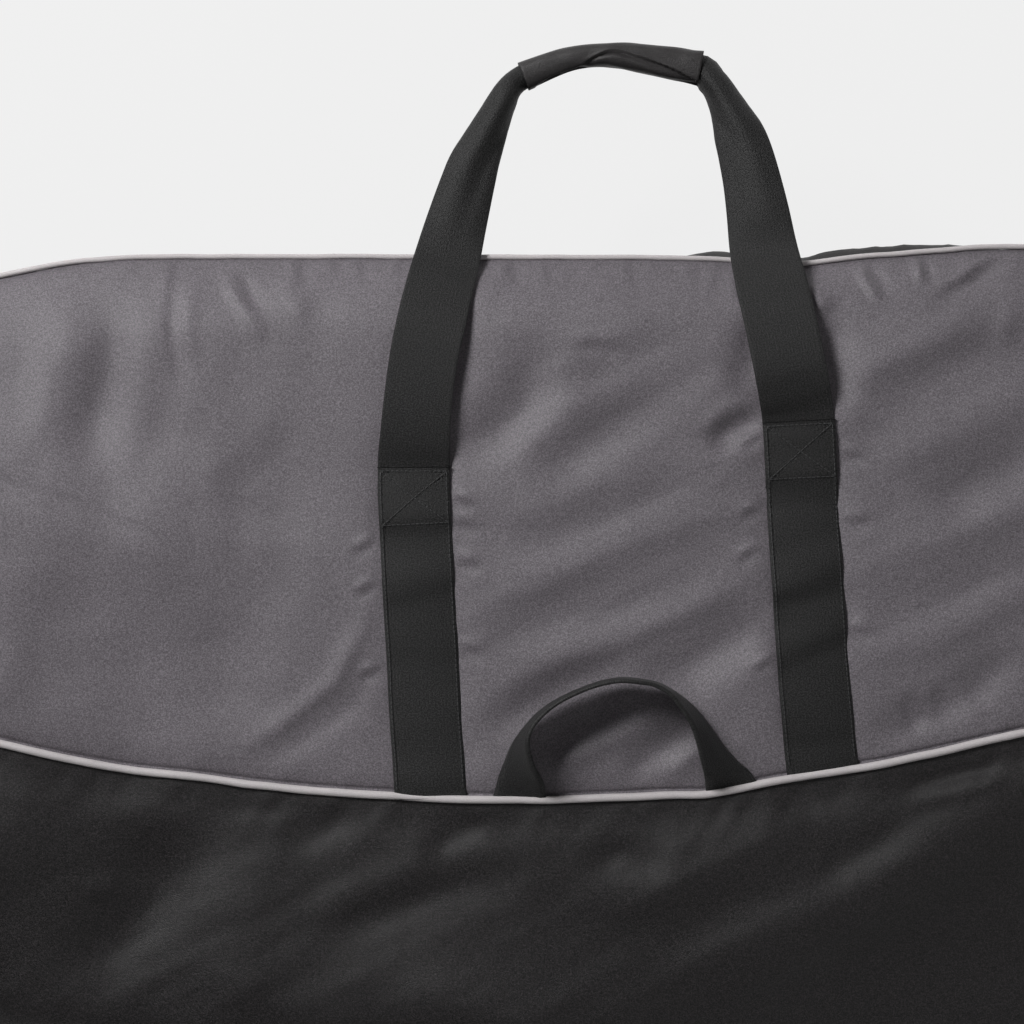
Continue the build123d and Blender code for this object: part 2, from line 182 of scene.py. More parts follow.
def look_up(table, x, y):
    """A value from a table over the whole bag, smoothly between its points."""
    last = np.array(table.shape) - 1
    u = np.clip((1 - np.asarray(x, float) / TABLE_LOW[0]) / 2 * last[0], 0, last[0] - 0.001)
    v = np.clip((1 - np.asarray(y, float) / TABLE_LOW[1]) / 2 * last[1], 0, last[1] - 0.001)
    return between(table, u, v)


def outline_distance(x, y):
    """Distance to the outline, below zero outside it."""
    pts = RING[0][::2]
    flat = np.stack([np.ravel(x), np.ravel(y)], 1)
    out = np.empty(len(flat))
    ahead = np.roll(pts, -1, 0) - pts
    length2 = (ahead ** 2).sum(1)
    for k in range(0, len(flat), 4000):
        rel = flat[k:k + 4000, None, :] - pts[None]
        t = np.clip((rel * ahead).sum(2) / length2, 0, 1)
        gap = rel - t[..., None] * ahead
        out[k:k + 4000] = np.sqrt((gap ** 2).sum(2).min(1))
    return out.reshape(np.shape(x)) * np.where((np.abs(y) > half_width(x)) | (np.abs(x) > HALF_LENGTH), -1, 1)


DISTANCE = outline_distance(*table_points(2.0))


def edge_distance(x, y):
    """Distance inside the outline, in millimetres."""
    return np.maximum(look_up(DISTANCE, x, y), 0)


# ---- mesh helpers ----------------------------------------------------------------------------------
def mesh(name, verts, faces, material, uv=None, smooth=True):
    """A mesh object from millimetre points; uv is one (u, v) for each point."""
    data = bpy.data.meshes.new(name)
    data.from_pydata((np.asarray(verts, float) * MM).tolist(), [], faces)
    data.update()
    if uv is not None:
        layer = data.uv_layers.new(name="UVMap")
        loop_verts = np.empty(len(data.loops), np.int32)
        data.loops.foreach_get("vertex_index", loop_verts)
        layer.data.foreach_set("uv", (np.asarray(uv, float)[loop_verts] * MM).ravel())
    data.materials.append(material)
    if smooth:
        data.polygons.foreach_set("use_smooth", np.ones(len(data.polygons), bool))
    obj = bpy.data.objects.new(name, data)
    bpy.context.scene.collection.objects.link(obj)
    return obj


def grid_faces(rows, cols, start=0, wrap_rows=False, wrap_cols=False, flip=False):
    """Quads of a grid whose points run along its columns first."""
    faces = []
    for i in range(rows if wrap_rows else rows - 1):
        a, b = start + i * cols, start + (i + 1) % rows * cols
        for j in range(cols if wrap_cols else cols - 1):
            k = (j + 1) % cols
            quad = (a + j, b + j, b + k, a + k)
            faces.append(quad[::-1] if flip else quad)
    return faces


def sheet_solid(name, top, bottom, uv, material):
    """A thin closed sheet from two matching grids of points."""
    rows, cols = top.shape[:2]
    count = rows * cols
    verts = np.concatenate([top.reshape(-1, 3), bottom.reshape(-1, 3)])
    faces = grid_faces(rows, cols) + grid_faces(rows, cols, start=count, flip=True)
    rim = ([i * cols for i in range(rows)] + [(rows - 1) * cols + j for j in range(1, cols)]
           + [i * cols + cols - 1 for i in range(rows - 2, -1, -1)] + list(range(cols - 2, 0, -1)))
    for a, b in zip(rim, rim[1:] + rim[:1]):
        faces.append((b, a, a + count, b + count))
    return mesh(name, verts, faces, material, np.tile(uv.reshape(-1, 2), (2, 1)))


def path_sides(points, up=(0.0, 0.0, 1.0), closed=False):
    """Side and upward vectors along a path; up may be one vector for each point."""
    ahead = np.roll(points, -1, 0) - np.roll(points, 1, 0) if closed else np.gradient(points, axis=0)
    ahead /= np.linalg.norm(ahead, axis=1)[:, None]
    side = np.cross(ahead, up)
    side /= np.linalg.norm(side, axis=1)[:, None]
    return side, np.cross(side, ahead)


def rows_form(name, rows, length, round_it, material, closed=False, flip=True):
    """A closed form from rows of points; length and round_it are the uv along the rows and round each."""
    count, points = len(rows), rows.shape[1]
    faces = grid_faces(count, points, wrap_rows=closed, wrap_cols=True, flip=flip)
    if not closed:
        for end in (tuple(range(points)), tuple(range((count - 1) * points, count * points))[::-1]):
            faces.append(end if flip else end[::-1])
    uv = np.stack([np.repeat(length, points), np.tile(round_it, count)], 1)
    return mesh(name, rows.reshape(-1, 3), faces, material, uv)


def run_length(points):
    return np.concatenate([[0], np.cumsum(np.linalg.norm(np.diff(points, axis=0), axis=1))])


def resample(points, step):
    """The same path with even steps."""
    p = np.asarray(points, float)
    run = run_length(p)
    count = max(int(round(run[-1] / step)), 2)
    s = np.linspace(0, run[-1], count + 1)
    return np.stack([np.interp(s, run, p[:, k]) for k in range(p.shape[1])], 1)


def smooth_path(points, step=2.0):
    """A Catmull-Rom path through the points, sampled evenly."""
    p = np.asarray(points, float)
    p = np.vstack([2 * p[0] - p[1], p, 2 * p[-1] - p[-2]])
    out = []
    for i in range(1, len(p) - 2):
        t = np.linspace(0, 1, 24, endpoint=False)[:, None]
        a, b, c, d = p[i - 1:i + 3]
        out.append(0.5 * (2 * b + (c - a) * t + (2 * a - 5 * b + 4 * c - d) * t ** 2
                          + (3 * b - a - 3 * c + d) * t ** 3))
    out.append(p[-2:-1])
    return resample(np.vstack(out), step)


def tube(name, points, radius, material, closed=False):
    """A round bead along a path, with one radius for each point."""
    side, top = path_sides(points, closed=closed)
    angle = np.linspace(0, 2 * math.pi, 12, endpoint=False)[:, None]
    ring = (side[:, None] * np.cos(angle) + top[:, None] * np.sin(angle)) * radius[:, None, None]
    return rows_form(name, points[:, None] + ring, run_length(points), angle[:, 0] * 2.0, material, closed)


def place(obj, body, slot_name, *nodes):
    """Rides on the body and stands for the nodes, which it hides; slot_name is not used."""
    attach(obj, body)
    if nodes:
        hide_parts(*nodes)
    return obj


# ---- materials -------------------------------------------------------------------------------------
class Paint:
    """Builds one procedural material."""

    def __init__(self, name, colour, roughness=0.8, metallic=0.0, sheen=0.0, specular=0.5, coords="Object"):
        self.material = bpy.data.materials.new(name)
        self.material.use_nodes = True
        self.tree = self.material.node_tree
        self.shader = self.tree.nodes["Principled BSDF"]
        self.colour = colour
        for key, value in (("Base Color", (*colour, 1)), ("Roughness", roughness), ("Metallic", metallic),
                           ("Specular IOR Level", specular), ("Sheen Weight", sheen), ("Sheen Roughness", 0.45)):
            self.shader.inputs[key].default_value = value
        self.coords = self.add("ShaderNodeTexCoord").outputs[coords]

    def add(self, kind, **values):
        """A node with these settings, or these values on its sockets."""
        node = self.tree.nodes.new(kind)
        for key, value in values.items():
            if hasattr(node, key):
                setattr(node, key, value)
            else:
                node.inputs[key.replace("_", " ")].default_value = value
        return node

    def link(self, source, target):
        self.tree.links.new(source, target)

    def mapped(self, scale=(1, 1, 1), rotation=(0, 0, 0)):
        node = self.add("ShaderNodeMapping", Scale=scale, Rotation=rotation)
        self.link(self.coords, node.inputs["Vector"])
        return node.outputs["Vector"]

    def noise(self, scale, detail=2.0, rough=0.5, stretch=(1, 1, 1)):
        node = self.add("ShaderNodeTexNoise", Scale=scale, Detail=detail, Roughness=rough)
        self.link(self.mapped(stretch), node.inputs["Vector"])
        return node.outputs["Fac"]

    def wave(self, pitch_mm, axis, rotation=(0, 0, 0), distortion=0.0):
        node = self.add("ShaderNodeTexWave", wave_type="BANDS", bands_direction=axis,
                        Scale=math.pi / 10 / (pitch_mm * MM), Distortion=distortion)
        self.link(self.mapped(rotation=rotation), node.inputs["Vector"])
        return node.outputs["Fac"]

    def times(self, a, b):
        node = self.add("ShaderNodeMath", operation="MULTIPLY")
        self.link(a, node.inputs[0])
        self.link(b, node.inputs[1])
        return node.outputs[0]

    def tint(self, factor, low, high, start=0.0, stop=1.0):
        """A value that runs from low to high while the factor runs from start to stop."""
        ramp = self.add("ShaderNodeMapRange", From_Min=start, From_Max=stop, To_Min=low, To_Max=high)
        self.link(factor, ramp.inputs["Value"])
        return ramp.outputs["Result"]

    def colour_by(self, *factors):
        """The colour times all of these."""
        total = factors[0]
        for factor in factors[1:]:
            total = self.times(total, factor)
        scale = self.add("ShaderNodeVectorMath", operation="SCALE")
        scale.inputs[0].default_value = self.colour
        self.link(total, scale.inputs["Scale"])
        self.link(scale.outputs["Vector"], self.shader.inputs["Base Color"])

    def bump(self, height, distance_mm):
        """Adds this relief to what the surface has."""
        node = self.add("ShaderNodeBump", Strength=1.0, Distance=distance_mm * MM)
        self.link(height, node.inputs["Height"])
        previous = self.shader.inputs["Normal"]
        if previous.is_linked:
            self.link(previous.links[0].from_socket, node.inputs["Normal"])
        self.link(node.outputs["Normal"], previous)

    def roughness_by(self, factor, low, high):
        self.link(self.tint(factor, low, high), self.shader.inputs["Roughness"])


def woven(name, colour, weave_mm, grain, roughness, patch=0.05, sheen=0.15, specular=0.25, depth=0.12):
    """Flat woven cloth: crossed threads, a speckle between them, and slow patches."""
    p = Paint(name, colour, roughness, sheen=sheen, specular=specular)
    warp = p.wave(weave_mm, "X", distortion=0.6)
    weft = p.wave(weave_mm * 1.15, "Y", distortion=0.6)
    threads = p.times(warp, weft)
    fine = p.noise(1500.0, 1.0, 0.6)
    coarse = p.noise(800.0, 2.0, 0.6)
    slow = p.noise(14.0, 3.0, 0.5)
    p.colour_by(p.tint(fine, 1 - grain, 1 + grain, 0.34, 0.66),
                p.tint(coarse, 1 - grain * 0.5, 1 + grain * 0.5, 0.34, 0.66),
                p.tint(threads, 0.96, 1.05), p.tint(slow, 1 - patch, 1 + patch, 0.3, 0.7))
    p.bump(threads, depth * 0.35)
    p.bump(fine, depth * 1.5)
    p.roughness_by(fine, roughness - 0.06, roughness + 0.08)
    return p.material


def webbing(name, colour, rib_mm=1.9):
    """Flat-woven strap: ribs along it, picks across it, fuzz; u runs along the strap and v across."""
    p = Paint(name, colour, 0.58, sheen=0.04, specular=0.28, coords="UV")
    ribs = p.wave(rib_mm, "Y", distortion=0.8)
    picks = p.wave(1.1, "X", rotation=(0, 0, 0.5), distortion=0.8)
    cross = p.times(ribs, picks)
    fuzz = p.noise(1300.0, 2.0, 0.65)
    slow = p.noise(30.0, 2.0, 0.5, stretch=(1, 0.4, 1))
    p.colour_by(p.tint(fuzz, 0.0, 2.3, 0.39, 0.61), p.tint(cross, 0.82, 1.2), p.tint(slow, 0.88, 1.12, 0.3, 0.7))
    p.bump(cross, 0.05)
    p.bump(fuzz, 0.4)
    return p.material


def plain(name, colour, roughness=0.5, metallic=0.0, speckle=0.06, dent=0.03, scale=900.0):
    """Moulded or painted surface with a little grain and wear."""
    p = Paint(name, colour, roughness, metallic)
    fine = p.noise(scale, 3.0, 0.6)
    slow = p.noise(60.0, 2.0, 0.5)
    p.colour_by(p.tint(fine, 1 - speckle, 1 + speckle), p.tint(slow, 0.95, 1.05))
    p.bump(fine, dent)
    p.roughness_by(slow, roughness - 0.08, roughness + 0.08)
    return p.material


GREY = woven("grey_twill", (0.1185, 0.1060, 0.1190), 0.6, grain=0.36, roughness=0.56, sheen=0.1, specular=0.5)
BLACK = woven("black_cloth", (0.0105, 0.0091, 0.0097), 0.6, grain=0.95, roughness=0.51, sheen=0.0, specular=0.36)
LINING = woven("lining", (0.075, 0.075, 0.078), 0.5, grain=0.12, roughness=0.48, specular=0.5)
BINDING = webbing("binding", (0.022, 0.022, 0.022), 1.2)
WEBBING = webbing("webbing", (0.0118, 0.0116, 0.0117))
TAPE = webbing("zip_tape", (0.02, 0.02, 0.02), 0.9)
GRIP = woven("grip_cloth", (0.0235, 0.0215, 0.022), 0.5, grain=0.3, roughness=0.5, sheen=0.03, specular=0.42)
PIPING = woven("light_piping", (0.48, 0.45, 0.455), 0.45, grain=0.05, patch=0.04, roughness=0.55, depth=0.06)
THREAD = plain("thread", (0.028, 0.028, 0.029), 0.6, scale=2500.0)
COIL = plain("zip_coil", (0.02, 0.02, 0.02), 0.45)
METAL = plain("zip_metal", (0.03, 0.03, 0.032), 0.4, metallic=0.6, speckle=0.15)
RUBBER = plain("pull_rubber", (0.03, 0.03, 0.03), 0.65)
FOAM = plain("foam", (0.42, 0.42, 0.43), 0.9, speckle=0.12, dent=0.1)

# ---- front surface ---------------------------------------------------------------------------------
SEAM = [(-845, 49.3), (-570, 8.3), (-450, -12.0), (-324, -33.7), (-290, -42.0), (-257, -48.6), (-223, -52.3),
        (-189, -57.0), (-156, -60.2), (-122, -62.4), (-89, -64.2), (-55, -64.8), (-38, -64.8), (-5, -63.8),
        (29, -62.2), (47, -61.8), (63, -59.2), (79, -55.6), (96, -52.8), (130, -47.6), (163, -41.0),
        (197, -33.2), (214, -29.6), (330, -5.5), (480, 19.3), (845, 64.3)]


def seam_y(x):
    return curve(SEAM, x)


def polyline_gap(x, y, path):
    """Distance to a polyline, signed by side, and how far along it the nearest point is, 0 to 1."""
    p = np.asarray(path, float)[:, :2]
    seg = np.diff(p, axis=0)
    lengths = np.hypot(seg[:, 0], seg[:, 1])
    start = np.concatenate([[0], np.cumsum(lengths)])
    best = np.full(np.shape(x), 1e9)
    along = np.zeros(np.shape(x))
    side = np.ones(np.shape(x))
    for (a, b), d, size, s in zip(p[:-1], seg, lengths, start):
        t = np.clip(((x - a) * d[0] + (y - b) * d[1]) / size ** 2, 0, 1)
        gx, gy = x - a - t * d[0], y - b - t * d[1]
        dist = np.hypot(gx, gy)
        nearer = dist < best
        best = np.where(nearer, dist, best)
        along = np.where(nearer, (s + t * size) / start[-1], along)
        side = np.where(nearer, np.sign(d[0] * gy - d[1] * gx), side)
    return best, along, side


def fold(x, y, path, width, height, ends, lean=0.0):
    """A soft ridge (or hollow, below zero) along a path that fades over its ends; lean makes one flank steeper."""
    gap, along, side = polyline_gap(x, y, path)
    w = width * (1 + lean * side)
    fade = smoothstep(0, ends, along) * smoothstep(0, ends, 1 - along)
    return height * fade * np.exp(-(gap / w) ** 2)


# The sewn straps, from the cross seam up to the box: x, y, width seen. The handle's legs, which follow on them up to
# the grip and down again: x, y, height, width seen.
SEWN_LEFT = [(-97.6, -64.0, 36.4), (-98.6, -45, 36.3), (-100.4, -20, 36.6), (-101.8, 10, 37.0), (-103.6, 40, 37.6),
             (-105.2, 72, 37.4), (-106.3, 95, 38.2), (-106.4, 109.6, 38.4)]
SEWN_RIGHT = [(108.4, -52.0, 38.3), (106.8, -40, 38.3), (104.8, -20, 38.3), (102.4, 8, 38.4), (100.4, 40, 38.0),
              (98.4, 71, 37.6), (97.0, 100, 38.0), (95.2, 133.8, 38.4)]
LEG_LEFT = [(-105.8, 124, 175.2, 37.2), (-104, 145, 177.8, 36.2), (-101, 167, 178, 36.2), (-96.9, 187, 174.8, 36.6),
            (-92.6, 206, 167.4, 36), (-89.4, 219, 160.4, 35.4), (-84.6, 239, 155, 33), (-78.6, 261, 152, 29.6),
            (-75.2, 272, 150.8, 27.4), (-70.4, 283.5, 149.4, 23.4), (-65.6, 294.5, 148, 19.6),
            (-61, 304.5, 146.5, 16.6), (-56.2, 313, 145, 14.4)]
GRIP_LINE = [(-49, 319.5), (-35.5, 325), (-22.5, 329.3), (-8, 331), (6, 330.3), (21, 328.2), (33.5, 326.2),
             (46, 323.8)]
GRIP_Z = 143.5
LEG_RIGHT = [(51.2, 318.4, 144.5, 16), (55.6, 312.5, 145.5, 16.8), (59.4, 305, 146.5, 19.6), (62.6, 296.5, 148, 23.6),
             (65.2, 288.5, 149.5, 27.4), (68.4, 277.5, 151.5, 29.6), (71.8, 262.4, 153.5, 31.4),
             (74.8, 245, 156.5, 33.8), (77.6, 227, 158, 36), (79.4, 216, 162.2, 37), (82, 203, 168.6, 38),
             (85.4, 186, 175.2, 38.6), (89.6, 164, 178.4, 38.8), (92.8, 148, 176.4, 38.5)]
WEB_THICK = 1.8
WEB_FULL = 38.0
BOX_LONG = 30.0
PUFF = 44.0     # the front rises to its full height over this much of its edge


def crown_height(d):
    """Height of the padded front this far inside its edge, before any fold."""
    return EDGE_Z + CROWN * (1 - (1 - np.minimum(d, PUFF) / PUFF) ** 2.3)


# Soft folds of the front cloth: path, half width, height (below zero for a hollow), and how far one flank is steeper.
FOLDS = [
    # left part: long soft hollows, a curved pucker and creases towards the seam
    ([(-284, 205), (-292, 160), (-306, 105)], 17, 2.2, 0.2),
    ([(-262, 208), (-270, 150), (-284, 100)], 12, -2.0),
    ([(-243, 205), (-248, 150), (-262, 90)], 12, 1.4),
    ([(-232, 212), (-233, 180), (-229, 158), (-220, 146)], 4.5, -0.9),
    ([(-224, 210), (-226, 180), (-222, 160)], 5, 0.7),
    ([(-210, 216), (-203, 203), (-192, 186), (-184, 172)], 5.0, 1.5, 0.3),
    ([(-202, 216), (-194, 201), (-184, 185)], 4.2, -1.4),
    ([(-178, 215), (-172, 200), (-160, 184)], 6, 0.7),
    ([(-200, 122), (-180, 100), (-186, 66)], 26, -1.8),
    ([(-226, 128), (-240, 90), (-250, 40)], 20, 1.3),
    ([(-290, 60), (-296, 10), (-280, -20)], 20, -1.6),
    ([(-266, 170), (-264, 60), (-256, 0), (-240, -56)], 36, -3.0),
    ([(-214, 40), (-208, 5), (-200, -30)], 16, -1.3),
    ([(-185, 48), (-176, 10), (-170, -20)], 14, 0.9),
    ([(-206, -46), (-176, -26), (-148, -4), (-124, 42)], 5.5, 1.3, 0.3),
    ([(-196, -50), (-166, -34), (-138, -14), (-120, 16)], 7, -1.1),
    ([(-300, 20), (-330, -10), (-350, -20)], 14, 1.2),
    # between the straps: slanting ridges that rise to the right
    ([(-106, 108), (-84, 119), (-62, 127), (-49, 142), (-43, 166), (-41, 184)], 13, -3.2),
    ([(-66, 108), (-36, 132), (-10, 158)], 11, 1.3),
    ([(-48, 98), (-22, 114), (8, 136), (34, 148)], 12, -2.0),
    ([(-24, 172), (-10, 170.5), (4, 167)], 3.2, -0.8),
    ([(-28, 178), (-6, 177), (8, 172)], 3.6, 0.6),
    ([(24, 122), (44, 140), (66, 162), (72, 190)], 12, 1.6),
    ([(46, 118), (62, 130), (78, 136)], 7, -2.3),
    ([(40, 126), (58, 140), (76, 146)], 5, 1.3),
    ([(60, 146), (70, 168), (71, 192)], 9, -2.6),
    ([(-82, 96), (-52, 84), (-8, 104), (36, 108)], 13, 1.3, 0.2),
    ([(-84, 70), (-30, 72), (20, 92), (72, 112)], 11, -1.1),
    ([(-84, 36), (-36, 52), (14, 74), (76, 96)], 12, 1.6, 0.3),
    ([(-80, 12), (-30, 28), (30, 42), (80, 66)], 11, -0.9),
    ([(-78, -10), (-40, 6), (4, 20), (40, 36), (82, 62)], 10, 1.5, 0.3),
    ([(-76, -32), (-50, -18), (-20, -2), (14, 4)], 9, -1.7),
    ([(8, -4), (38, 4), (62, 20), (88, 36)], 14, -3.2),
    ([(40, -28), (64, -4), (90, 14)], 9, 0.8),
    ([(-40, -56), (-18, -40), (12, -26), (34, -12)], 7, 1.7, 0.2),
    ([(-46, -44), (-24, -26), (10, -16)], 13, -3.3),
    ([(0, -56), (20, -40), (42, -26)], 8, -2.2),
    ([(22, -56), (38, -42), (52, -34)], 5.5, 1.1),
    # beside the right-hand strap and to the right of it
    ([(97, 214), (104, 204), (113, 190)], 5.0, 1.9, 0.2),
    ([(104, 196), (113, 178), (118, 150), (117, 134)], 8, -2.2),
    ([(126, 226), (128, 216), (131, 207), (140, 194)], 2.3, 2.4, 0.4),
    ([(133, 226), (136, 213), (146, 197)], 3.0, -1.2),
    ([(157, 228), (158.5, 216), (161, 202)], 2.3, 2.3, 0.3),
    ([(163, 228), (165, 213), (168, 200)], 2.8, -1.2),
    ([(210, 228), (197, 217), (184, 208), (166, 199)], 3.6, 1.3, 0.2),
    ([(212, 220), (197, 209), (184, 201), (162, 192)], 4.6, -1.3),
    ([(214, 190), (204, 180), (203, 162)], 6, 0.9),
    ([(118, 128), (150, 148), (196, 168), (240, 176)], 11, -1.5),
    ([(118, 150), (146, 166), (190, 184)], 10, 1.3, 0.2),
    ([(120, 96), (156, 118), (206, 138), (250, 146)], 12, 1.6, 0.2),
    ([(160, 84), (192, 102), (230, 116)], 13, -2.2),
    ([(122, 58), (160, 70), (210, 86), (250, 96)], 12, 1.4, 0.2),
    ([(124, 30), (168, 40), (214, 58)], 12, -1.1),
    ([(126, 6), (166, 18), (212, 42), (250, 50)], 10, 1.3, 0.2),
    ([(122, -38), (150, -27), (184, -10), (218, 20)], 12, -3.1),
    ([(150, -8), (154, -20), (160, -32)], 4, -0.8),
    ([(160, 0), (164, -14), (168, -26)], 4, 0.7),
    ([(176, -2), (182, -14), (196, -24)], 4, 0.6),
    # lower panel
    ([(-222, -74), (-248, -120), (-286, -176)], 24, -3.4, -0.2),
    ([(-190, -84), (-196, -130), (-210, -190)], 26, 1.5),
    ([(-320, -50), (-345, -110), (-380, -160)], 28, 2.4),
    ([(-282, -108), (-270, -112), (-256, -104)], 6, 0.8),
    ([(-180, -92), (-158, -82), (-130, -74)], 9, -1.2),
    ([(-104, -96), (-82, -84), (-64, -74)], 7.5, -1.2),
    ([(-164, -146), (-128, -128), (-84, -110), (-40, -104)], 9, -0.8),
    ([(-170, -126), (-130, -110), (-80, -94)], 11, 0.8),
    ([(-20, -92), (6, -98), (34, -96)], 10, -1.2),
    ([(-30, -120), (20, -112), (80, -90), (120, -70)], 16, 1.5),
    ([(96, -112), (120, -96), (160, -78)], 9, -1.0),
    ([(0, -178), (66, -152), (134, -120), (214, -68), (260, -44)], 22, 3.0, 0.2),
    ([(60, -190), (120, -164), (190, -130), (250, -92)], 30, -2.6),
    ([(146, -60), (176, -52), (206, -46)], 3.6, -1.1),
    ([(150, -68), (180, -60), (214, -50)], 4.6, 0.9),
    ([(-20, -200), (-80, -170), (-130, -160)], 18, 1.5),
]
# Places where the cloth falls away on the right-hand side of a line: path, reach, height.
SLOPES = [
    ([(-120, -236), (-60, -214), (10, -186), (66, -162), (134, -128), (200, -92), (260, -50), (330, -8), (420, 30)],
     100, -20.0),
    ([(-176, 110), (-196, 60), (-216, 0), (-234, -66), (-252, -118), (-274, -176), (-290, -230)], 110, 14.0),
    ([(-360, 60), (-300, 34), (-250, 10), (-205, -24)], 66, -2.5),
    ([(-236, -100), (-180, -112), (-100, -122), (-20, -136), (60, -160)], 62, 6.5),
]
# Small tucks under the upper edge: x, reach, sideways drift, half width, height.
EDGE_TUCKS = [(-239, 26, 2, 3.2, 1.1), (-173, 21, 7, 2.6, 1.5), (-152, 12, 3, 2.2, 0.9), (-139, 17, 4, 2.4, 1.2),
              (-117, 12, -3, 2.6, 1.0), (-62, 22, 9, 3.0, 1.2), (-41, 17, 5, 2.2, 1.9), (-33, 11, -4, 2.0, 1.2),
              (-14, 9, 3, 2.4, 0.7), (2, 20, 8, 2.4, 1.3), (17, 10, 3, 2.0, 0.8), (34, 17, 9, 2.6, 1.4),
              (42, 12, -2, 2.0, 1.3), (52, 26, -7, 3.0, 1.0), (146, 10, 3, 2.2, 0.8), (186, 12, -5, 2.4, 0.9)]
# Where the straps' stitching gathers the cloth: x, y, and 1 where the tuck runs off to the left.
STRAP_PUCKERS = [(-125, 74, 1), (-124, 52, 1), (-87, 86, -1), (-88, 98, -1), (-86, 66, -1), (-84, 20, -1), (-122, 8, 1),
                 (77, 92, 1), (76, 70, 1), (79, 130, 1), (116, 122, -1), (118, 88, -1), (121, 30, -1), (84, 12, 1)]


def puckers(x, y, d):
    """Short tucks where the cloth is sewn to the edge, the cross seam and the straps."""
    z = 0 * x
    upper = y > 0
    edge_run = x + 0.35 * (HALF_WIDTH - np.abs(y)) * np.where(upper, 1, -1)
    tuck = noise(edge_run, 0 * y + 3, 8, 31) + 0.8 * noise(edge_run, 0 * y, 19, 32)
    strong = 0.6 + 0.6 * noise(x, 0 * y, 70, 33)
    reach = 9 + 8 * (0.5 + 0.5 * noise(x, 0 * y + 9, 24, 34))
    z = z + 1.3 * strong * tuck * smoothstep(0.5, 4, d) * np.exp(-d / reach)
    gap = y - seam_y(x)
    run = x - 0.7 * gap
    tuck = noise(run, 0 * y, 8, 41) + 0.7 * noise(run, 0 * y, 21, 42)
    z = z + 0.55 * tuck * smoothstep(0.5, 5, np.abs(gap)) * np.exp(-np.abs(gap) / np.where(gap > 0, 8, 14))
    for px, py, way in STRAP_PUCKERS:
        far = (px - 16 * way, py - 7)
        b = near([(px, py), far], 14)
        z[b] += (fold(x[b], y[b], [(px, py), far], 2.4, 1.2, 0.5)
                 - fold(x[b], y[b], [(px, py - 5), (far[0], far[1] - 5)], 2.6, 1.1, 0.5))
    return z


def slope(x, y, path, width, height):
    """Ground that falls away (or rises) on the right-hand side of a path, then comes back further off."""
    gap, along, side = polyline_gap(x, y, path)
    over = gap * side / width
    fade = smoothstep(0, 0.2, along) * smoothstep(0, 0.2, 1 - along)
    return height * fade * smoothstep(-0.25, 1.0, -over) * smoothstep(3.3, 1.2, -over)


def slanting(x, y, along, across, seed):
    """Noise drawn out along the folds, which climb to the right."""
    c, s = math.cos(math.radians(28)), math.sin(math.radians(28))
    return noise((x * c + y * s) * across / along, -x * s + y * c, across, seed)


def near(path, reach):
    """The block of the relief table that a path can reach."""
    p = np.asarray(path, float)
    block = []
    for axis, places in enumerate((RELIEF_X[:, 0], RELIEF_Y[0])):
        inside = np.flatnonzero((places > p[:, axis].min() - reach) & (places < p[:, axis].max() + reach))
        block.append(slice(inside[0], inside[-1] + 1))
    return tuple(block)


def make_relief(x, y):
    """How far the front cloth stands over or under its crown."""
    d = edge_distance(x, y)
    free = smoothstep(2, 26, d)
    right = np.clip(smoothstep(-150, -60, x) + smoothstep(-60, -80, y) * smoothstep(-110, -150, x), 0, 1)
    z = 3.2 * smoothstep(20, 170, d)
    z = z + free * (1.1 * noise(x, y, 150, 3) + 0.35 * crumple(x, y, 60, 11) + 0.12 * crumple(x, y, 24, 21))
    z = z + free * right * (1.0 * slanting(x, y, 150, 30, 25) + 0.5 * slanting(x, y, 70, 14, 26)
                            + 0.16 * slanting(x, y, 34, 7, 35))
    z = z + free * (1 - right) * (0.7 * noise(x, 0.4 * y, 30, 27) + 0.25 * noise(x, 0.5 * y, 13, 28))
    for path, width, height, *lean in FOLDS:
        share = FOLD_SHARE * (1.15 if path[0][1] < -60 else 1.0)
        b = near(path, REACH * width)
        z[b] += share * fold(x[b], y[b], path, width, height, 0.35, *lean) * smoothstep(0, 9, d[b])
    for path, width, height in SLOPES:
        b = near(path, REACH * width)
        z[b] += slope(x[b], y[b], path, width, height) * smoothstep(0, 40, d[b])
    for px, reach, drift, width, height in EDGE_TUCKS:
        py = half_width(px)
        path = [(px, py + 0.3 * reach), (px + 0.3 * drift, py - 0.4 * reach), (px + drift, py - reach)]
        b = near(path, 5 * width)
        ridge = fold(x[b], y[b], path, width, 1.0, 0.7)
        hollow = fold(x[b] - 1.9 * width, y[b], path, 1.15 * width, 0.95, 0.7)
        z[b] += height * smoothstep(0.5, 3, d[b]) * (ridge - hollow)
    z = z + puckers(x, y, d)
    gap = y - seam_y(x)
    z = z - 1.3 * np.exp(-(gap / np.where(gap > 0, 8, 45)) ** 2) * free
    z = z - 0.8 * np.exp(-((gap + 13) / 8) ** 2) * free
    for path in (SEWN_LEFT, SEWN_RIGHT):
        b = near(path, WEB_FULL)
        gap = polyline_gap(x[b], y[b], path)[0]
        z[b] -= smoothstep(WEB_FULL / 2 + 12, WEB_FULL / 2 - 6, gap) * free[b]
    return z


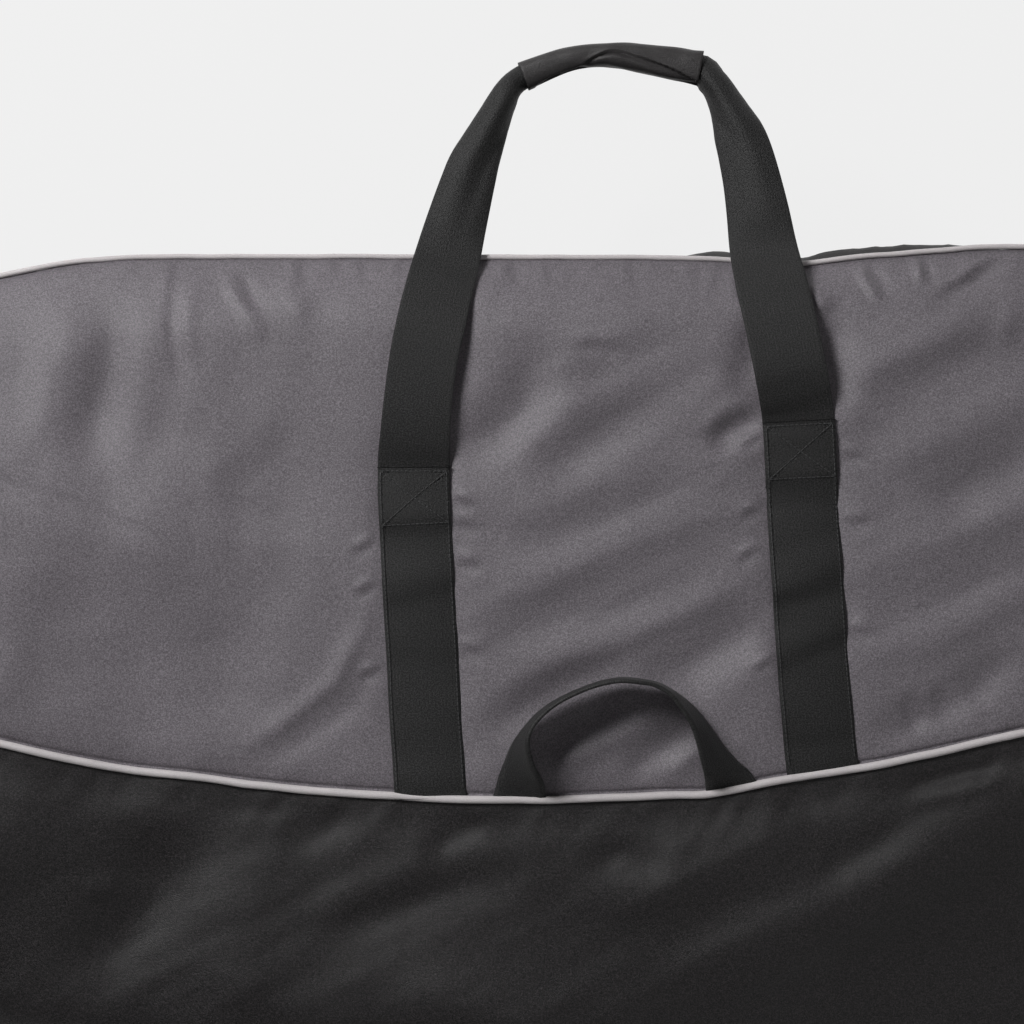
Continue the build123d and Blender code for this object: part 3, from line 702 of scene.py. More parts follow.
def simulated_slack():
    """Blows the front cloth up from inside as a slightly loose sheet, sewn down along its seams: change of height."""
    x = whole_length(10.0, 1.5, 8)
    share = np.linspace(-0.995, 0.995, 56)
    xs = np.broadcast_to(x[:, None], (len(x), len(share)))
    ys = half_width(x)[:, None] * share
    zs = crown_height(edge_distance(xs, ys)) + 0.4 * noise(xs, ys, 25, 301)
    flat = mesh("slack_sheet", np.stack([xs, ys, zs], 2).reshape(-1, 3), grid_faces(len(x), len(share)), GREY)
    held = (edge_distance(xs, ys) < 3) | (np.abs(ys - seam_y(xs)) < 4.5)
    for path in (SEWN_LEFT, SEWN_RIGHT):
        held |= polyline_gap(xs, ys, path)[0] < 14
    pins = flat.vertex_groups.new(name="sewn")
    pins.add(np.flatnonzero(held.ravel()).tolist(), 1.0, "REPLACE")
    cloth = flat.modifiers.new("Cloth", "CLOTH")
    for key, value in {
            "vertex_group_mass": "sewn", "quality": 6, "mass": 0.2, "tension_stiffness": 20,
            "compression_stiffness": 20, "shear_stiffness": 6, "bending_stiffness": 0.08, "shrink_min": -0.022,
            "use_pressure": True, "uniform_pressure_force": 2.5}.items():
        setattr(cloth.settings, key, value)
    cloth.settings.effector_weights.gravity = 0
    cloth.collision_settings.use_collision = False
    scene = bpy.context.scene
    for step in range(1, 25):
        scene.frame_set(step)
    moved = np.array([v.co for v in flat.evaluated_get(bpy.context.evaluated_depsgraph_get()).data.vertices]) / MM
    change = moved[:, 2].reshape(xs.shape) - zs
    scene.frame_set(1)
    bpy.data.objects.remove(flat)
    for axis in (0, 1):
        change = (np.roll(change, 1, axis) + 2 * change + np.roll(change, -1, axis)) / 4
    change = SLACK_MOST * np.tanh(change / SLACK_MOST)
    i = np.clip(np.interp(RELIEF_X, x, np.arange(len(x))), 0, len(x) - 1.001)
    v = RELIEF_Y / half_width(np.clip(RELIEF_X, -HALF_LENGTH, HALF_LENGTH))
    j = np.clip(np.interp(v, share, np.arange(len(share))), 0, len(share) - 1.001)
    return between(change, i, j)


REACH = 3.4         # a fold is nothing this many half widths away
FOLD_SHARE = 1.45
SLACK_SHARE = 0.6
SLACK_MOST = 3.2
DEEPEST = 17.0      # no hollow of the front goes deeper
RELIEF_X, RELIEF_Y = table_points(1.25)
RELIEF = make_relief(RELIEF_X, RELIEF_Y)
RELIEF = RELIEF + SLACK_SHARE * simulated_slack() * smoothstep(2, 12, edge_distance(RELIEF_X, RELIEF_Y))
RELIEF = np.where(RELIEF < 0, -DEEPEST * np.tanh(-RELIEF / DEEPEST), RELIEF)


def front_height(x, y):
    """Height of the outside of the front cloth."""
    return crown_height(edge_distance(x, y)) + look_up(RELIEF, x, y)


def pressed(x, y):
    """How far the padding and lining give way under the deepest hollows, zero or below."""
    return np.minimum(look_up(RELIEF, x, y) + 3.6, 0)


# How far the upper edge stands out past the plain outline: x, distance.
EDGE_SHIFT = [(-420, 0.0), (-330, 0.6), (-150, 1.4), (-60, 0.9), (40, 0.3), (75, -1.3), (97, -3.4), (112, -1.8),
              (129, 0.2), (154, 2.3), (173, 3.8), (190, 5.1), (214, 5.7), (260, 4.5), (340, 0.8), (430, 0.0)]


def shifted(x, y):
    """Y once the upper edge's slack and bulges are added."""
    share = smoothstep(0.45, 1.0, y / half_width(x))
    return y + curve(EDGE_SHIFT, np.clip(x, -420, 430)) * share


def columns():
    """X of the grid's columns: close together where the handle and the puckers are, and at the ends."""
    t = np.linspace(0, math.pi / 2, 26)
    end = END_ARC_X + END_R * np.sin(t)
    return np.concatenate([-end[::-1], np.arange(-END_ARC_X + 4, -336, 4.0), np.arange(-336, 232, 1.8),
                           np.arange(232, END_ARC_X - 2, 4.0), end])


def panel_grid(upper):
    """Points of one front cloth, from the cross seam out to the edge."""
    x = columns()
    h = half_width(x)
    seam = np.clip(seam_y(x), -h + 0.3, h - 0.3)
    close_rows = [0, 0.002, 0.004, 0.006, 0.008, 0.0105, 0.0135]
    t = np.concatenate([close_rows, np.linspace(0.017, 1, 150 if upper else 78)])[:, None]
    y = seam + ((h if upper else -h) - seam) * t
    return np.broadcast_to(x, y.shape), y


CLOTH_THICK = 1.2


def front_cloth(name, upper, material):
    x, y = panel_grid(upper)
    if not upper:
        x, y = x[::-1], y[::-1]
    z = front_height(x, y)
    if upper:       # the row sewn along the piping
        z = z - 1.5 * np.exp(-((y - seam_y(x) - 2.9) / 0.9) ** 2)
    top = np.stack([x, shifted(x, y), z], 2).transpose(1, 0, 2)
    return sheet_solid(name, top, top - [0, 0, CLOTH_THICK], np.stack([x, y], 2).transpose(1, 0, 2), material)


upper = front_cloth("front_upper_cloth", True, GREY)
place(upper, "front_half", "grey_twill", "front_upper_panel")
lower = front_cloth("front_lower_cloth", False, BLACK)
place(lower, "front_half", "black_cloth", "front_lower_panel")

# ---- piping ----------------------------------------------------------------------------------------
def seam_bead():
    x = np.arange(-HALF_LENGTH + 3.5, HALF_LENGTH - 6.5, 1.5)
    y = seam_y(x)
    keep = np.abs(y) < half_width(x) - 1.0
    x, y = x[keep], y[keep]
    z = front_height(x, y) + 1.3 + 0.15 * noise(x, y, 12, 51)
    y = y + 0.25 * noise(x, 0 * x, 16, 52)
    return tube("cross_seam_piping", np.stack([x, y, z], 1), 2.05 + 0.08 * noise(x, y, 7, 53), PIPING)


place(seam_bead(), "front_half", "light_piping", "front_seam_piping")


def edge_bead(name, spread, z, seed):
    pts, normals, s, _ = RING
    wobble = 0.25 * noise(s, 0 * s, 14, seed) + 0.2 * noise(s, 0 * s, 40, seed + 1)
    slim = 0.75 * smoothstep(84, 70, pts[:, 0]) * smoothstep(-330, -240, pts[:, 0]) * (pts[:, 1] > 0) * (spread < 1.4)
    xy = pts + normals * (spread + wobble - slim)[:, None]
    xy[:, 1] = shifted(xy[:, 0], xy[:, 1])
    height = z + 0.2 * noise(s, 0 * s, 17, seed + 2)
    path = np.column_stack([xy, height])
    return tube(name, path, 1.38 + 0.08 * noise(s, 0 * s, 8, seed + 3), PIPING, closed=True)


place(edge_bead("front_edge_piping_bead", 1.25, EDGE_Z + 0.6, 61), "front_half", "light_piping", "front_edge_piping")
place(edge_bead("back_edge_piping_bead", 1.5, 2.6, 71), "back_half", "light_piping", "back_edge_piping")

# ---- webbing ---------------------------------------------------------------------------------------
STRAP_ACROSS = np.linspace(-1, 1, 17)


def arc_section(width, full):
    """Upper face of a strap whose edges curl down until it looks this wide: points across and down, and normals."""
    theta = np.linspace(0.02, math.pi * 0.92, 400)
    seen = np.where(theta < math.pi / 2, np.sin(theta), 1.0) * full / theta
    angle = np.interp(-min(width, full - 0.05), -seen, theta)
    phi = np.linspace(-angle, angle, len(STRAP_ACROSS))
    radius = full / (2 * angle)
    return np.stack([radius * np.sin(phi), radius * (np.cos(phi) - 1)], 1), np.stack([np.sin(phi), np.cos(phi)], 1)


def ribbon(name, path, widths, full, thick, curl=None, up=(0.0, 0.0, 1.0), extra=None, tight=None):
    """A strap along a path of its upper face; where it is seen narrower than its full width, its edges curl down."""
    p = np.asarray(path, float)
    side, top = path_sides(p, up)
    rows = []
    for i, width in enumerate(widths):
        flat, normal = arc_section(width, full)
        flat = flat * (1.0 if tight is None else tight[i])
        drop = flat[:, 1] * (1.0 if curl is None else curl[i])
        if extra is not None:
            drop = drop + extra[i]
        upper_face = p[i] + side[i] * flat[:, :1] + top[i] * drop[:, None]
        lower_face = upper_face - (side[i] * normal[:, :1] + top[i] * normal[:, 1:]) * thick
        rows.append(np.concatenate([upper_face, lower_face[::-1]]))
    v = np.linspace(-full / 2, full / 2, len(STRAP_ACROSS))
    obj = rows_form(name, np.array(rows), run_length(p), np.concatenate([v, v[::-1]]), WEBBING, flip=False)
    bevel = obj.modifiers.new("selvedge", "BEVEL")
    bevel.width = thick * 0.32 * MM
    bevel.segments = 2
    bevel.limit_method = "ANGLE"
    bevel.angle_limit = math.radians(50)
    return obj


def on_cloth(points, lift):
    """Points (x, y, width) laid on the front cloth: x, y, z, width."""
    p = np.asarray(points, float)
    z = front_height(p[:, 0], p[:, 1])
    return np.column_stack([p[:, 0], p[:, 1], z + lift, p[:, 2]])


def from_top(path):
    """How far each point of a path is from its last point, along it."""
    run = run_length(path[:, :3])
    return run[-1] - run


def sewn_path(points):
    """Upper face of a strap on the front, from the cross seam up to its box, where it lies over the handle's end."""
    path = smooth_path(on_cloth(points, WEB_THICK), 2.5)
    ground = np.max([front_height(path[:, 0] + dx, path[:, 1]) for dx in (-12, 0, 12)], 0)
    to_top = from_top(path)
    path[:, 2] = ground + WEB_THICK + (WEB_THICK + 0.1) * smoothstep(BOX_LONG + 7, BOX_LONG - 5, to_top)
    path[:, 2] += 0.25 * noise(path[:, 0], path[:, 1], 20, 81)
    return path


# Places where a sewn strap stands up a little, steeper on the lower side: y on its centre line, slant, height.
HUMPS = {"left": [(44, 4, 0.7), (-16, -3, 0.7)], "right": [(47, 6, 1.7), (14.5, 7, 1.8), (-28, 0, 0.7)]}


def sewn_lift(side, path, across):
    """How far a sewn strap stands off its path, at these places across it from -1 to 1."""
    run = run_length(path[:, :3])[:, None]
    free = smoothstep(6, 40, run) * smoothstep(BOX_LONG + 6, BOX_LONG + 36, run[-1] - run)
    lift = (1 - across) * (1.2 if side == "right" else 0.4) * free
    for y, slant, height in HUMPS[side]:
        over = path[:, 1:2] - y - slant * across
        lift = lift + height * smoothstep(-6, 4, over) * smoothstep(26, 6, over)
    return lift


def sewn_strap(side, points):
    path = sewn_path(points)
    obj = ribbon(f"sewn_strap_{side}", path[:, :3], np.full(len(path), WEB_FULL), WEB_FULL, WEB_THICK,
                 extra=sewn_lift(side, path, STRAP_ACROSS))
    return place(obj, "front_half", "webbing", f"front_strap_{side}")


def handle_webbing():
    """One strap from under the left box, over the grip, to under the right box."""
    under = 26.0
    left = on_cloth([p for p in SEWN_LEFT if p[1] > SEWN_LEFT[-1][1] - under], WEB_THICK)
    right = on_cloth([p for p in SEWN_RIGHT[::-1] if p[1] > SEWN_RIGHT[-1][1] - under - 10], WEB_THICK)
    middle = [(x, y, GRIP_Z - 1.6, 13.0 + 3.5 * (x > 40)) for x, y in GRIP_LINE]
    rows = np.vstack([left, LEG_LEFT, middle, LEG_RIGHT, right])
    path = smooth_path(rows, 2.5)
    length = run_length(path[:, :3])
    wave = 0.5 * noise(length, 0 * length, 18, 83)
    path[:, 2] += wave * smoothstep(0, 60, length) * smoothstep(0, 60, length[-1] - length)
    crease = []     # a fold along the strap where it turns into the grip
    for i, width in enumerate(path[:, 3]):
        pinch = smoothstep(36, 24, width) * smoothstep(13, 17, width)
        ridge = np.interp(width, (15, 36), (0.15, -0.35))
        crease.append(pinch * (1.5 * np.exp(-((STRAP_ACROSS - ridge) / 0.24) ** 2)
                               - 1.9 * np.exp(-((STRAP_ACROSS - ridge - 0.5) / 0.2) ** 2)))
    curl = smoothstep(HALF_WIDTH - 4, HALF_WIDTH + 26, path[:, 1]) * np.interp(path[:, 3], (18, 30), (1.0, 0.4))
    inside = np.minimum(path[:, 0] - GRIP_LINE[0][0], GRIP_LINE[-1][0] - path[:, 0])
    tight = 1 - 0.26 * smoothstep(0, 8, np.where(path[:, 1] > HALF_WIDTH, inside, 0))
    lean = 0.16 * smoothstep(196, 250, path[:, 1]) * smoothstep(56, 70, path[:, 0])
    obj = ribbon("carry_handle_webbing", path[:, :3], np.minimum(path[:, 3], WEB_FULL), WEB_FULL, WEB_THICK,
                 curl=curl, up=np.column_stack([-lean, 0 * lean, 1 + 0 * lean]), extra=crease, tight=tight)
    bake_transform(obj)
    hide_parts("front_handle_webbing")
    return obj


sewn_strap("left", SEWN_LEFT)
sewn_strap("right", SEWN_RIGHT)
handle_webbing()


def grip_wrap():
    """Cloth rolled round the folded handle; its free edge rises over the near side and drops away again."""
    line = smooth_path([(x, y, GRIP_Z - 7.0) for x, y in GRIP_LINE], 1.2)
    length = run_length(line)
    share = length / length[-1]
    tall, blunt, around = 7.6, 2.6, 72
    half = curve([(0, 7.6), (0.25, 6.4), (0.42, 6.0), (0.6, 7.2), (0.8, 8.4), (1, 9.4)], share)
    free_edge = curve([(0, -1.05), (0.12, -0.86), (0.34, -0.74), (0.45, 0.0), (0.52, 0.25), (0.62, 0.02),
                       (0.74, -0.25), (0.88, -0.55), (1, -0.8)], share)
    side, top = path_sides(line)
    angle = np.linspace(0, 2 * math.pi, around, endpoint=False)
    across, up = np.cos(angle), np.sin(angle)
    superellipse = (np.abs(across) ** blunt + np.abs(up) ** blunt) ** (-1 / blunt)
    rows = []
    for i in range(len(line)):
        below = (-across < free_edge[i]) & (up > -0.25)
        edge_gap = -across - free_edge[i]
        step = np.where(below, -1.9 + 1.9 * smoothstep(0, -0.55, edge_gap), 0.5 * np.exp(-(edge_gap / 0.22) ** 2))
        step = np.where(up > -0.25, step, 0.0)
        ripple = 0.3 * noise(length[i] + 14 * up, 9 * across + 0 * up, 9, 91)
        r = superellipse + (step + ripple) / tall
        rows.append(line[i] + side[i] * (r * across * half[i])[:, None] + top[i] * (r * up * tall)[:, None])
    outer = np.array(rows)
    inner = line[:, None] + (outer - line[:, None]) * 0.86
    count = len(line) * around
    verts = np.concatenate([outer.reshape(-1, 3), inner.reshape(-1, 3)])
    faces = grid_faces(len(line), around, wrap_cols=True)
    faces += grid_faces(len(line), around, start=count, wrap_cols=True, flip=True)
    last = (len(line) - 1) * around
    for j in range(around):
        k = (j + 1) % around
        faces.append((j, k, k + count, j + count))
        faces.append((last + k, last + j, last + j + count, last + k + count))
    uv = np.stack([np.repeat(length, around), np.tile(angle * 8, len(line))], 1)
    obj = mesh("grip_wrap_cloth", verts, faces, GRIP, np.tile(uv, (2, 1)))
    place(obj, "front_handle", "grip_cloth", "handle_grip_wrap")


grip_wrap()

# Grab loop, left foot to right foot, as it looks from EYE: outer edge x, y and inner edge x, y.
LOOP = [(-65.0, -63.2, -37.2, -63.6), (-62.0, -53.5, -38.6, -56.0), (-58.4, -44.6, -43.8, -46.5),
        (-54.0, -34.6, -46.4, -36.2), (-47.6, -26.0, -45.0, -28.2), (-41.2, -19.4, -39.6, -21.0),
        (-32.4, -13.2, -31.6, -14.4), (-21.0, -7.6, -21.2, -8.8), (-8.8, -3.2, -9.6, -4.4), (1.6, -1.2, 1.2, -2.4),
        (12.0, -2.0, 10.8, -3.0), (22.0, -4.2, 19.4, -4.6), (31.6, -9.6, 27.4, -9.2), (40.0, -16.4, 33.6, -17.0),
        (47.2, -25.0, 38.6, -25.0), (54.4, -35.2, 41.8, -34.2), (61.8, -43.8, 44.0, -44.0),
        (68.8, -49.6, 45.8, -53.4), (73.4, -55.2, 46.6, -60.8)]
LOOP_WIDE = 27.0
EYE = np.array([-55.0, 86.0, 1500.0])       # x, y and height over the crown; the camera is here


def grab_loop():
    rows = smooth_path(LOOP, 1.6)
    low, high = rows[:, :2], rows[:, 2:]
    seen = np.hypot(*(high - low).T)
    length = run_length(low)
    share = length / length[-1]
    stand = np.sqrt(np.maximum(LOOP_WIDE ** 2 - seen ** 2, 0))
    stand = stand * smoothstep(0, 0.06, share) * smoothstep(1, 0.94, share)
    high = EYE[:2] + (high - EYE[:2]) * (1 - stand / EYE[2])[:, None]
    ground = front_height(low[:, 0], low[:, 1])
    ground = np.maximum(ground, 0.6 * ground + 0.4 * CROWN_Z) + 0.7 + 6.5 * np.sin(math.pi * share) ** 1.5
    a = np.column_stack([low, ground])
    b = np.column_stack([high, np.maximum(front_height(high[:, 0], high[:, 1]) + 0.9, ground) + stand])
    t = np.linspace(0, 1, 11)
    across = a[:, None] * (1 - t)[None, :, None] + b[:, None] * t[None, :, None]
    along = np.gradient(across, axis=0)
    wide = np.gradient(across, axis=1)
    normal = np.cross(wide, along)
    normal /= np.linalg.norm(normal, axis=2)[..., None]
    normal *= np.where(normal[..., 2:].mean() < 0, -1, 1)
    cup = 0.3 * (1 - (2 * t - 1) ** 2) * np.sin(math.pi * share)[:, None]
    face = across + normal * cup[..., None]
    hem = 0.35 * (np.exp(-((t - 0.9) / 0.06) ** 2) + np.exp(-((t - 0.1) / 0.06) ** 2))
    outer = face + normal * (0.85 + hem)[None, :, None]
    inner = face - normal * 0.85
    v = np.concatenate([t, t[::-1]]) * LOOP_WIDE
    obj = rows_form("grab_loop_strap", np.concatenate([outer, inner[:, ::-1]], 1), length, v, WEBBING)
    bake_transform(obj)
    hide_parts("grab_loop_webbing")
    return obj


grab_loop()


# ---- stitching -------------------------------------------------------------------------------------
def stitches(name, runs, body, pitch=2.5, long=1.9, radius=0.32):
    """Rows of separate thread stitches along paths."""
    around, rings = 6, 5
    angle = np.linspace(0, 2 * math.pi, around, endpoint=False)
    verts, faces = [], []
    for run in runs:
        p = resample(np.asarray(run, float), pitch)
        mid, way = (p[1:] + p[:-1]) / 2, np.diff(p, axis=0)
        way = way / np.linalg.norm(way, axis=1)[:, None]
        for centre, t in zip(mid, way):
            side = np.cross(t, (0, 0, 1))
            side = side / np.linalg.norm(side)
            top = np.cross(side, t)
            start = len(verts)
            for k in range(rings):
                f = k / (rings - 1) * 2 - 1
                arch = radius * (1 - f * f) - 0.25 * radius
                r = radius * (0.55 + 0.45 * (1 - f * f))
                c = centre + t * (f * long / 2) + top * arch
                for q in angle:
                    verts.append(c + side * math.cos(q) * r + top * math.sin(q) * r * 0.8)
            faces += grid_faces(rings, around, start=start, wrap_cols=True, flip=True)
            faces.append(tuple(range(start, start + around)))
            faces.append(tuple(range(start + (rings - 1) * around, start + rings * around))[::-1])
    obj = mesh(name, np.array(verts), faces, THREAD)
    return place(obj, body, "thread")


# ---- side walls ------------------------------------------------------------------------------------
def ring_at(s):
    """Points and outward normals of the outline at these runs from the middle of the lower edge."""
    pts, normals, runs, total = RING
    runs = np.concatenate([runs, [total]])
    s = np.mod(s, total)

    def at_runs(table):
        closed = np.vstack([table, table[:1]])
        return np.stack([np.interp(s, runs, closed[:, k]) for k in (0, 1)], 1)

    n = at_runs(normals)
    return at_runs(pts), n / np.linalg.norm(n, axis=1)[:, None]


def band(name, section, material, s, closed=True, swell=None):
    """A strip that follows the outline: section is its closed outline as (outward, height) points."""
    section = np.asarray(section, float)
    pts, normals = ring_at(s)
    out = np.broadcast_to(section[None, :, 0], (len(s), len(section)))
    z = np.broadcast_to(section[None, :, 1], (len(s), len(section)))
    if swell is not None:
        extra_out, extra_z = swell(s[:, None], pts[:, None], z)
        out, z = out + extra_out, z + extra_z
    xy = pts[:, None] + normals[:, None] * out[..., None]
    top = smoothstep(EDGE_Z - 52, EDGE_Z - 2, z)
    y = xy[..., 1] + (shifted(xy[..., 0], xy[..., 1]) - xy[..., 1]) * top
    return rows_form(name, np.stack([xy[..., 0], y, z], 2), s, run_length(section), material, closed)


def wall_section(levels, lip_from, lip_to):
    """Outer face through these levels, and an inner face that runs on as the lip behind the tape."""
    outer = [(0.0, z) for z in levels]
    inner = [(-WALL, z) for z in levels[::-1]]
    back = WALL - 0.35
    if lip_to < lip_from:
        return outer + inner[:1] + inner + [(-WALL, lip_to), (-back, lip_to), (-back, lip_from)]
    return [(-back, lip_from), (-back, lip_to), (-WALL, lip_to)] + inner + inner[-1:] + outer


def slack(low, high, seed, bulge):
    """Bulge and wrinkles of a side wall that is sewn along two edges."""
    def swell(s, pts, z):
        t = np.clip((z - low) / (high - low), 0, 1)
        hold = np.sin(math.pi * t) ** 0.8
        wave = 1.1 * noise(s + 0.55 * z, 0.3 * z, 24, seed) + 0.55 * noise(s - 0.8 * z, 0.4 * z, 11, seed + 1)
        wave = wave + 0.6 * crumple(s + 0.2 * z, 0.8 * z, 34, seed + 2)
        return bulge(pts, t) + hold * (1.0 + wave), 0.35 * hold * noise(s, z, 30, seed + 5)
    return swell


def front_bulge(pts, t):
    """The upper wall hangs out past the piping in two places beside the right-hand strap."""
    x, upper_edge = pts[..., 0], pts[..., 1] > 150
    places = (5.6 * smoothstep(18, 58, x) * smoothstep(108, 94, x)
              + 7.0 * smoothstep(92, 118, x) * smoothstep(216, 160, x)
              + 1.3 * crumple(x, 30 * t, 17, 111) * smoothstep(40, 60, x) * smoothstep(205, 190, x))
    high = smoothstep(0.2, 0.68, t) * smoothstep(1.0, 0.74, t)
    return np.where(upper_edge, places, 0) * high


def back_bulge(pts, t):
    """The lower wall bulges a little all round."""
    return 0.6 * np.sin(math.pi * t)


TAPE_EDGE = ZIP_Z - corners("zipper_tape_back")[0][2]
WALL = 2.5
OPENING = 7.5
ring_steps = np.arange(0, RING[3] - 1.0, 3.0)
for half, way, levels, seed, bulge in (
        ("front", 1, np.linspace(ZIP_Z + TAPE_EDGE, EDGE_Z - 0.6, 19), 101, front_bulge),
        ("back", -1, np.linspace(1.4, ZIP_Z - TAPE_EDGE, 17), 121, back_bulge)):
    wall = band(f"{half}_side_wall", wall_section(levels, ZIP_Z + way * TAPE_EDGE, ZIP_Z + way * OPENING), BLACK,
                ring_steps, swell=slack(levels[0], levels[-1], seed, bulge))
    place(wall, f"{half}_half", "black_cloth",
          *(f"{half}_gusset_{part}" for part in ("upper", "lower", "left", "right")))


def hinge_strip():
    """Cloth over the fabric hinge, sewn to both walls."""
    x = np.arange(-HINGE_HALF - 3, HINGE_HALF + 3.1, 3.0)
    z = np.arange(ZIP_Z - TAPE_EDGE - 3, ZIP_Z + TAPE_EDGE + 3.1, 1.5)
    xs, zs = np.meshgrid(x, z, indexing="ij")
    t = (zs - z[0]) / (z[-1] - z[0])
    out = 0.5 + 0.5 * smoothstep(0, 0.12, t) * smoothstep(1, 0.88, t)
    out = out + 0.25 * noise(xs, zs, 14, 141) * np.sin(math.pi * t)
    outer = np.stack([xs, -HALF_WIDTH - out - 0.9, zs], 2)
    inner = outer + [0, 0.9, 0]
    obj = sheet_solid("hinge_strip", outer[::-1], inner[::-1], np.stack([xs, zs], 2)[::-1], BLACK)
    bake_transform(obj)


hinge_strip()


# ---- back panel, padding and linings ---------------------------------------------------------------
def layer(name, node, inset, low, thick, material, step=7.0, across=64):
    """A flat layer of the bag, in from its outline; low(x, y, distance from the edge) is its underside."""
    half = node.split("_")[0]
    x = whole_length(step, math.pi / 2, 20)
    y = (half_width(x) - inset)[:, None] * np.linspace(-1, 1, across)
    x = np.broadcast_to((x * (1 - inset / HALF_LENGTH))[:, None], y.shape)
    z = low(x, y, edge_distance(x, y))
    bottom = np.stack([x, shifted(x, y) if half == "front" else y, z], 2)
    top = bottom + np.stack([0 * x, 0 * x, thick(x, y) if callable(thick) else thick + 0 * z], 2)
    obj = sheet_solid(name, top, bottom, np.stack([x, y], 2), material)
    return place(obj, f"{half}_half", material.name.split(".")[0], node)    # the name without Blender's number


def back_underside(x, y, d):
    return 0.9 * smoothstep(30, 4, d) + 0.5 * np.maximum(crumple(x, y, 90, 151), 0) * smoothstep(4, 40, d)


def front_foam_thick(x, y):
    return np.clip(look_up(RELIEF, x, y) - pressed(x, y) + 4.7, 0.25, 4.8)


FINE_GRID = (5.0, 90)
LINING_THICK = 0.8
back_cloth = layer("back_cloth", "back_panel", 0.2, back_underside, 1.1, BLACK)
layer("back_padding", "back_foam", 3.2, lambda x, y, d: 2.3 + 0 * d, 3.7, FOAM, 14.0, 24)
layer("front_padding", "front_foam", 3.2, lambda x, y, d: crown_height(d) - 6.4 + pressed(x, y), front_foam_thick,
      FOAM, *FINE_GRID)


def lining_slack(x, y, d, seed):
    """Loose folds of a lining between its seams, mostly along the bag."""
    drawn = 1.7 * crumple(0.35 * x + 0.1 * y, y, 60, seed) + 0.9 * noise(0.5 * x, y, 26, seed + 3)
    edge = 0.5 * noise(x + 0.3 * y, 0 * y, 10, seed + 4) * np.exp(-d / 12)
    return drawn * smoothstep(5, 40, d) + edge * smoothstep(2, 8, d)


def back_lining_top(x, y, d):
    return 7.0 + np.maximum(lining_slack(x, y, d, 161), -0.5)


def front_lining_low(x, y, d):
    return crown_height(d) - 7.0 + pressed(x, y) - np.maximum(lining_slack(x, y, d, 171), -0.4)


back_lining = layer("back_lining_cloth", "back_lining", 2.8,
                    lambda x, y, d: back_lining_top(x, y, d) - LINING_THICK, LINING_THICK, LINING, *FINE_GRID)
front_lining = layer("front_lining_cloth", "front_lining", 2.8, front_lining_low, LINING_THICK, LINING, *FINE_GRID)


def binding_band(half):
    """The bound seam inside one half."""
    node = f"{half}_seam_binding"
    low, high = corners(node)
    section = [(-WALL - 0.1, z) for z in np.linspace(low[2], high[2], 5)]
    section += [(-WALL - 1.2, z) for z in np.linspace(high[2], low[2], 5)]

    def ripple(s, pts, z):
        return 0.3 * noise(s, 0.2 * z, 13, 181) - 0.3, 0.35 * noise(s, 0 * z, 22, 182)

    obj = band(f"{half}_bound_seam", section, BINDING, ring_steps, swell=ripple)
    return place(obj, f"{half}_half", "binding", node)


binding_band("front")
binding_band("back")


# ---- zipper ----------------------------------------------------------------------------------------
zip_steps = np.arange(HINGE_HALF, RING[3] - HINGE_HALF + 0.1, 4.0)


def zipper_side(side, first_tooth):
    """The tape and the coil of one side; first_tooth sets its teeth between those of the other."""
    low, high = corners(f"zipper_tape_{side}")
    z = np.linspace(low[2] + 0.2, high[2] - 0.2, 7)
    section = [(-1.25, v) for v in z] + [(-1.95, v) for v in z[::-1]]
    obj = band(f"zip_tape_{side}", section, TAPE, zip_steps, closed=False,
               swell=lambda s, pts, z: (0.06 * noise(s, z, 9, 191), 0 * z))
    place(obj, f"{side}_half", "zip_tape", f"zipper_tape_{side}")
    low, high = corners(f"zipper_coil_{side}")
    middle, half = (low[2] + high[2]) / 2, (high[2] - low[2]) / 2
    angle = np.linspace(0, 2 * math.pi, 8, endpoint=False)
    tooth = 2.2

    def teeth(s, pts, z):
        phase = np.cos(2 * math.pi * (s / tooth + first_tooth))
        grow = np.where(phase > 0, 0.0, 0.42 * phase)
        return grow * np.cos(angle), grow * np.sin(angle) * 0.5

    section = [(1.15 * math.cos(a), middle + half * math.sin(a)) for a in angle]
    coil = band(f"zip_coil_{side}", section, COIL, np.arange(HINGE_HALF, RING[3] - HINGE_HALF, tooth / 4),
                closed=False, swell=teeth)
    place(coil, f"{side}_half", "zip_coil", f"zipper_coil_{side}")


zipper_side("back", 0.75)
zipper_side("front", 0.25)

# ---- straps over the board -------------------------------------------------------------------------
def board_strap(side, half):
    low, high = corners(f"board_strap_{half}_{side}")
    x = (low[0] + high[0]) / 2
    y = np.linspace(low[1], high[1], 90)
    ground = np.max([back_lining_top(x + dx, y, edge_distance(x + dx + 0 * y, y))
                     for dx in (-12, -6, 0, 6, 12)], 0)
    z = ground + 1.75 + 0.3 * noise(y, 0 * y, 40, 201)
    if half == "hook":
        lap = corners(f"board_strap_loop_{side}")[1][1]
        z = z + 1.8 * smoothstep(lap + 10, lap - 2, y)
    path = resample(np.column_stack([x + 0.5 * noise(y, 0 * y, 90, 202), y, z]), 2.5)
    wide = high[0] - low[0]
    obj = ribbon(f"board_{half}_strap_{side}", path, np.full(len(path), wide), wide, 1.6)
    return place(obj, "back_half", "webbing", f"board_strap_{half}_{side}")


for board_side in ("left", "right"):
    for board_half in ("loop", "hook"):
        board_strap(board_side, board_half)


# ---- stitching on straps and walls -----------------------------------------------------------------
THREAD_LIFT = 0.12


def on_strap(name, path, across, start, stop):
    """A line on a strap, this far from its centre line, between two distances from its upper end."""
    lift = sewn_lift(name, path, np.array([across * 2 / WEB_FULL]))
    side = path_sides(path[:, :3])[0]
    keep = (from_top(path) >= start) & (from_top(path) <= stop)
    return (path[:, :3] + side * across + [0, 0, THREAD_LIFT] + lift * [0, 0, 1])[keep]


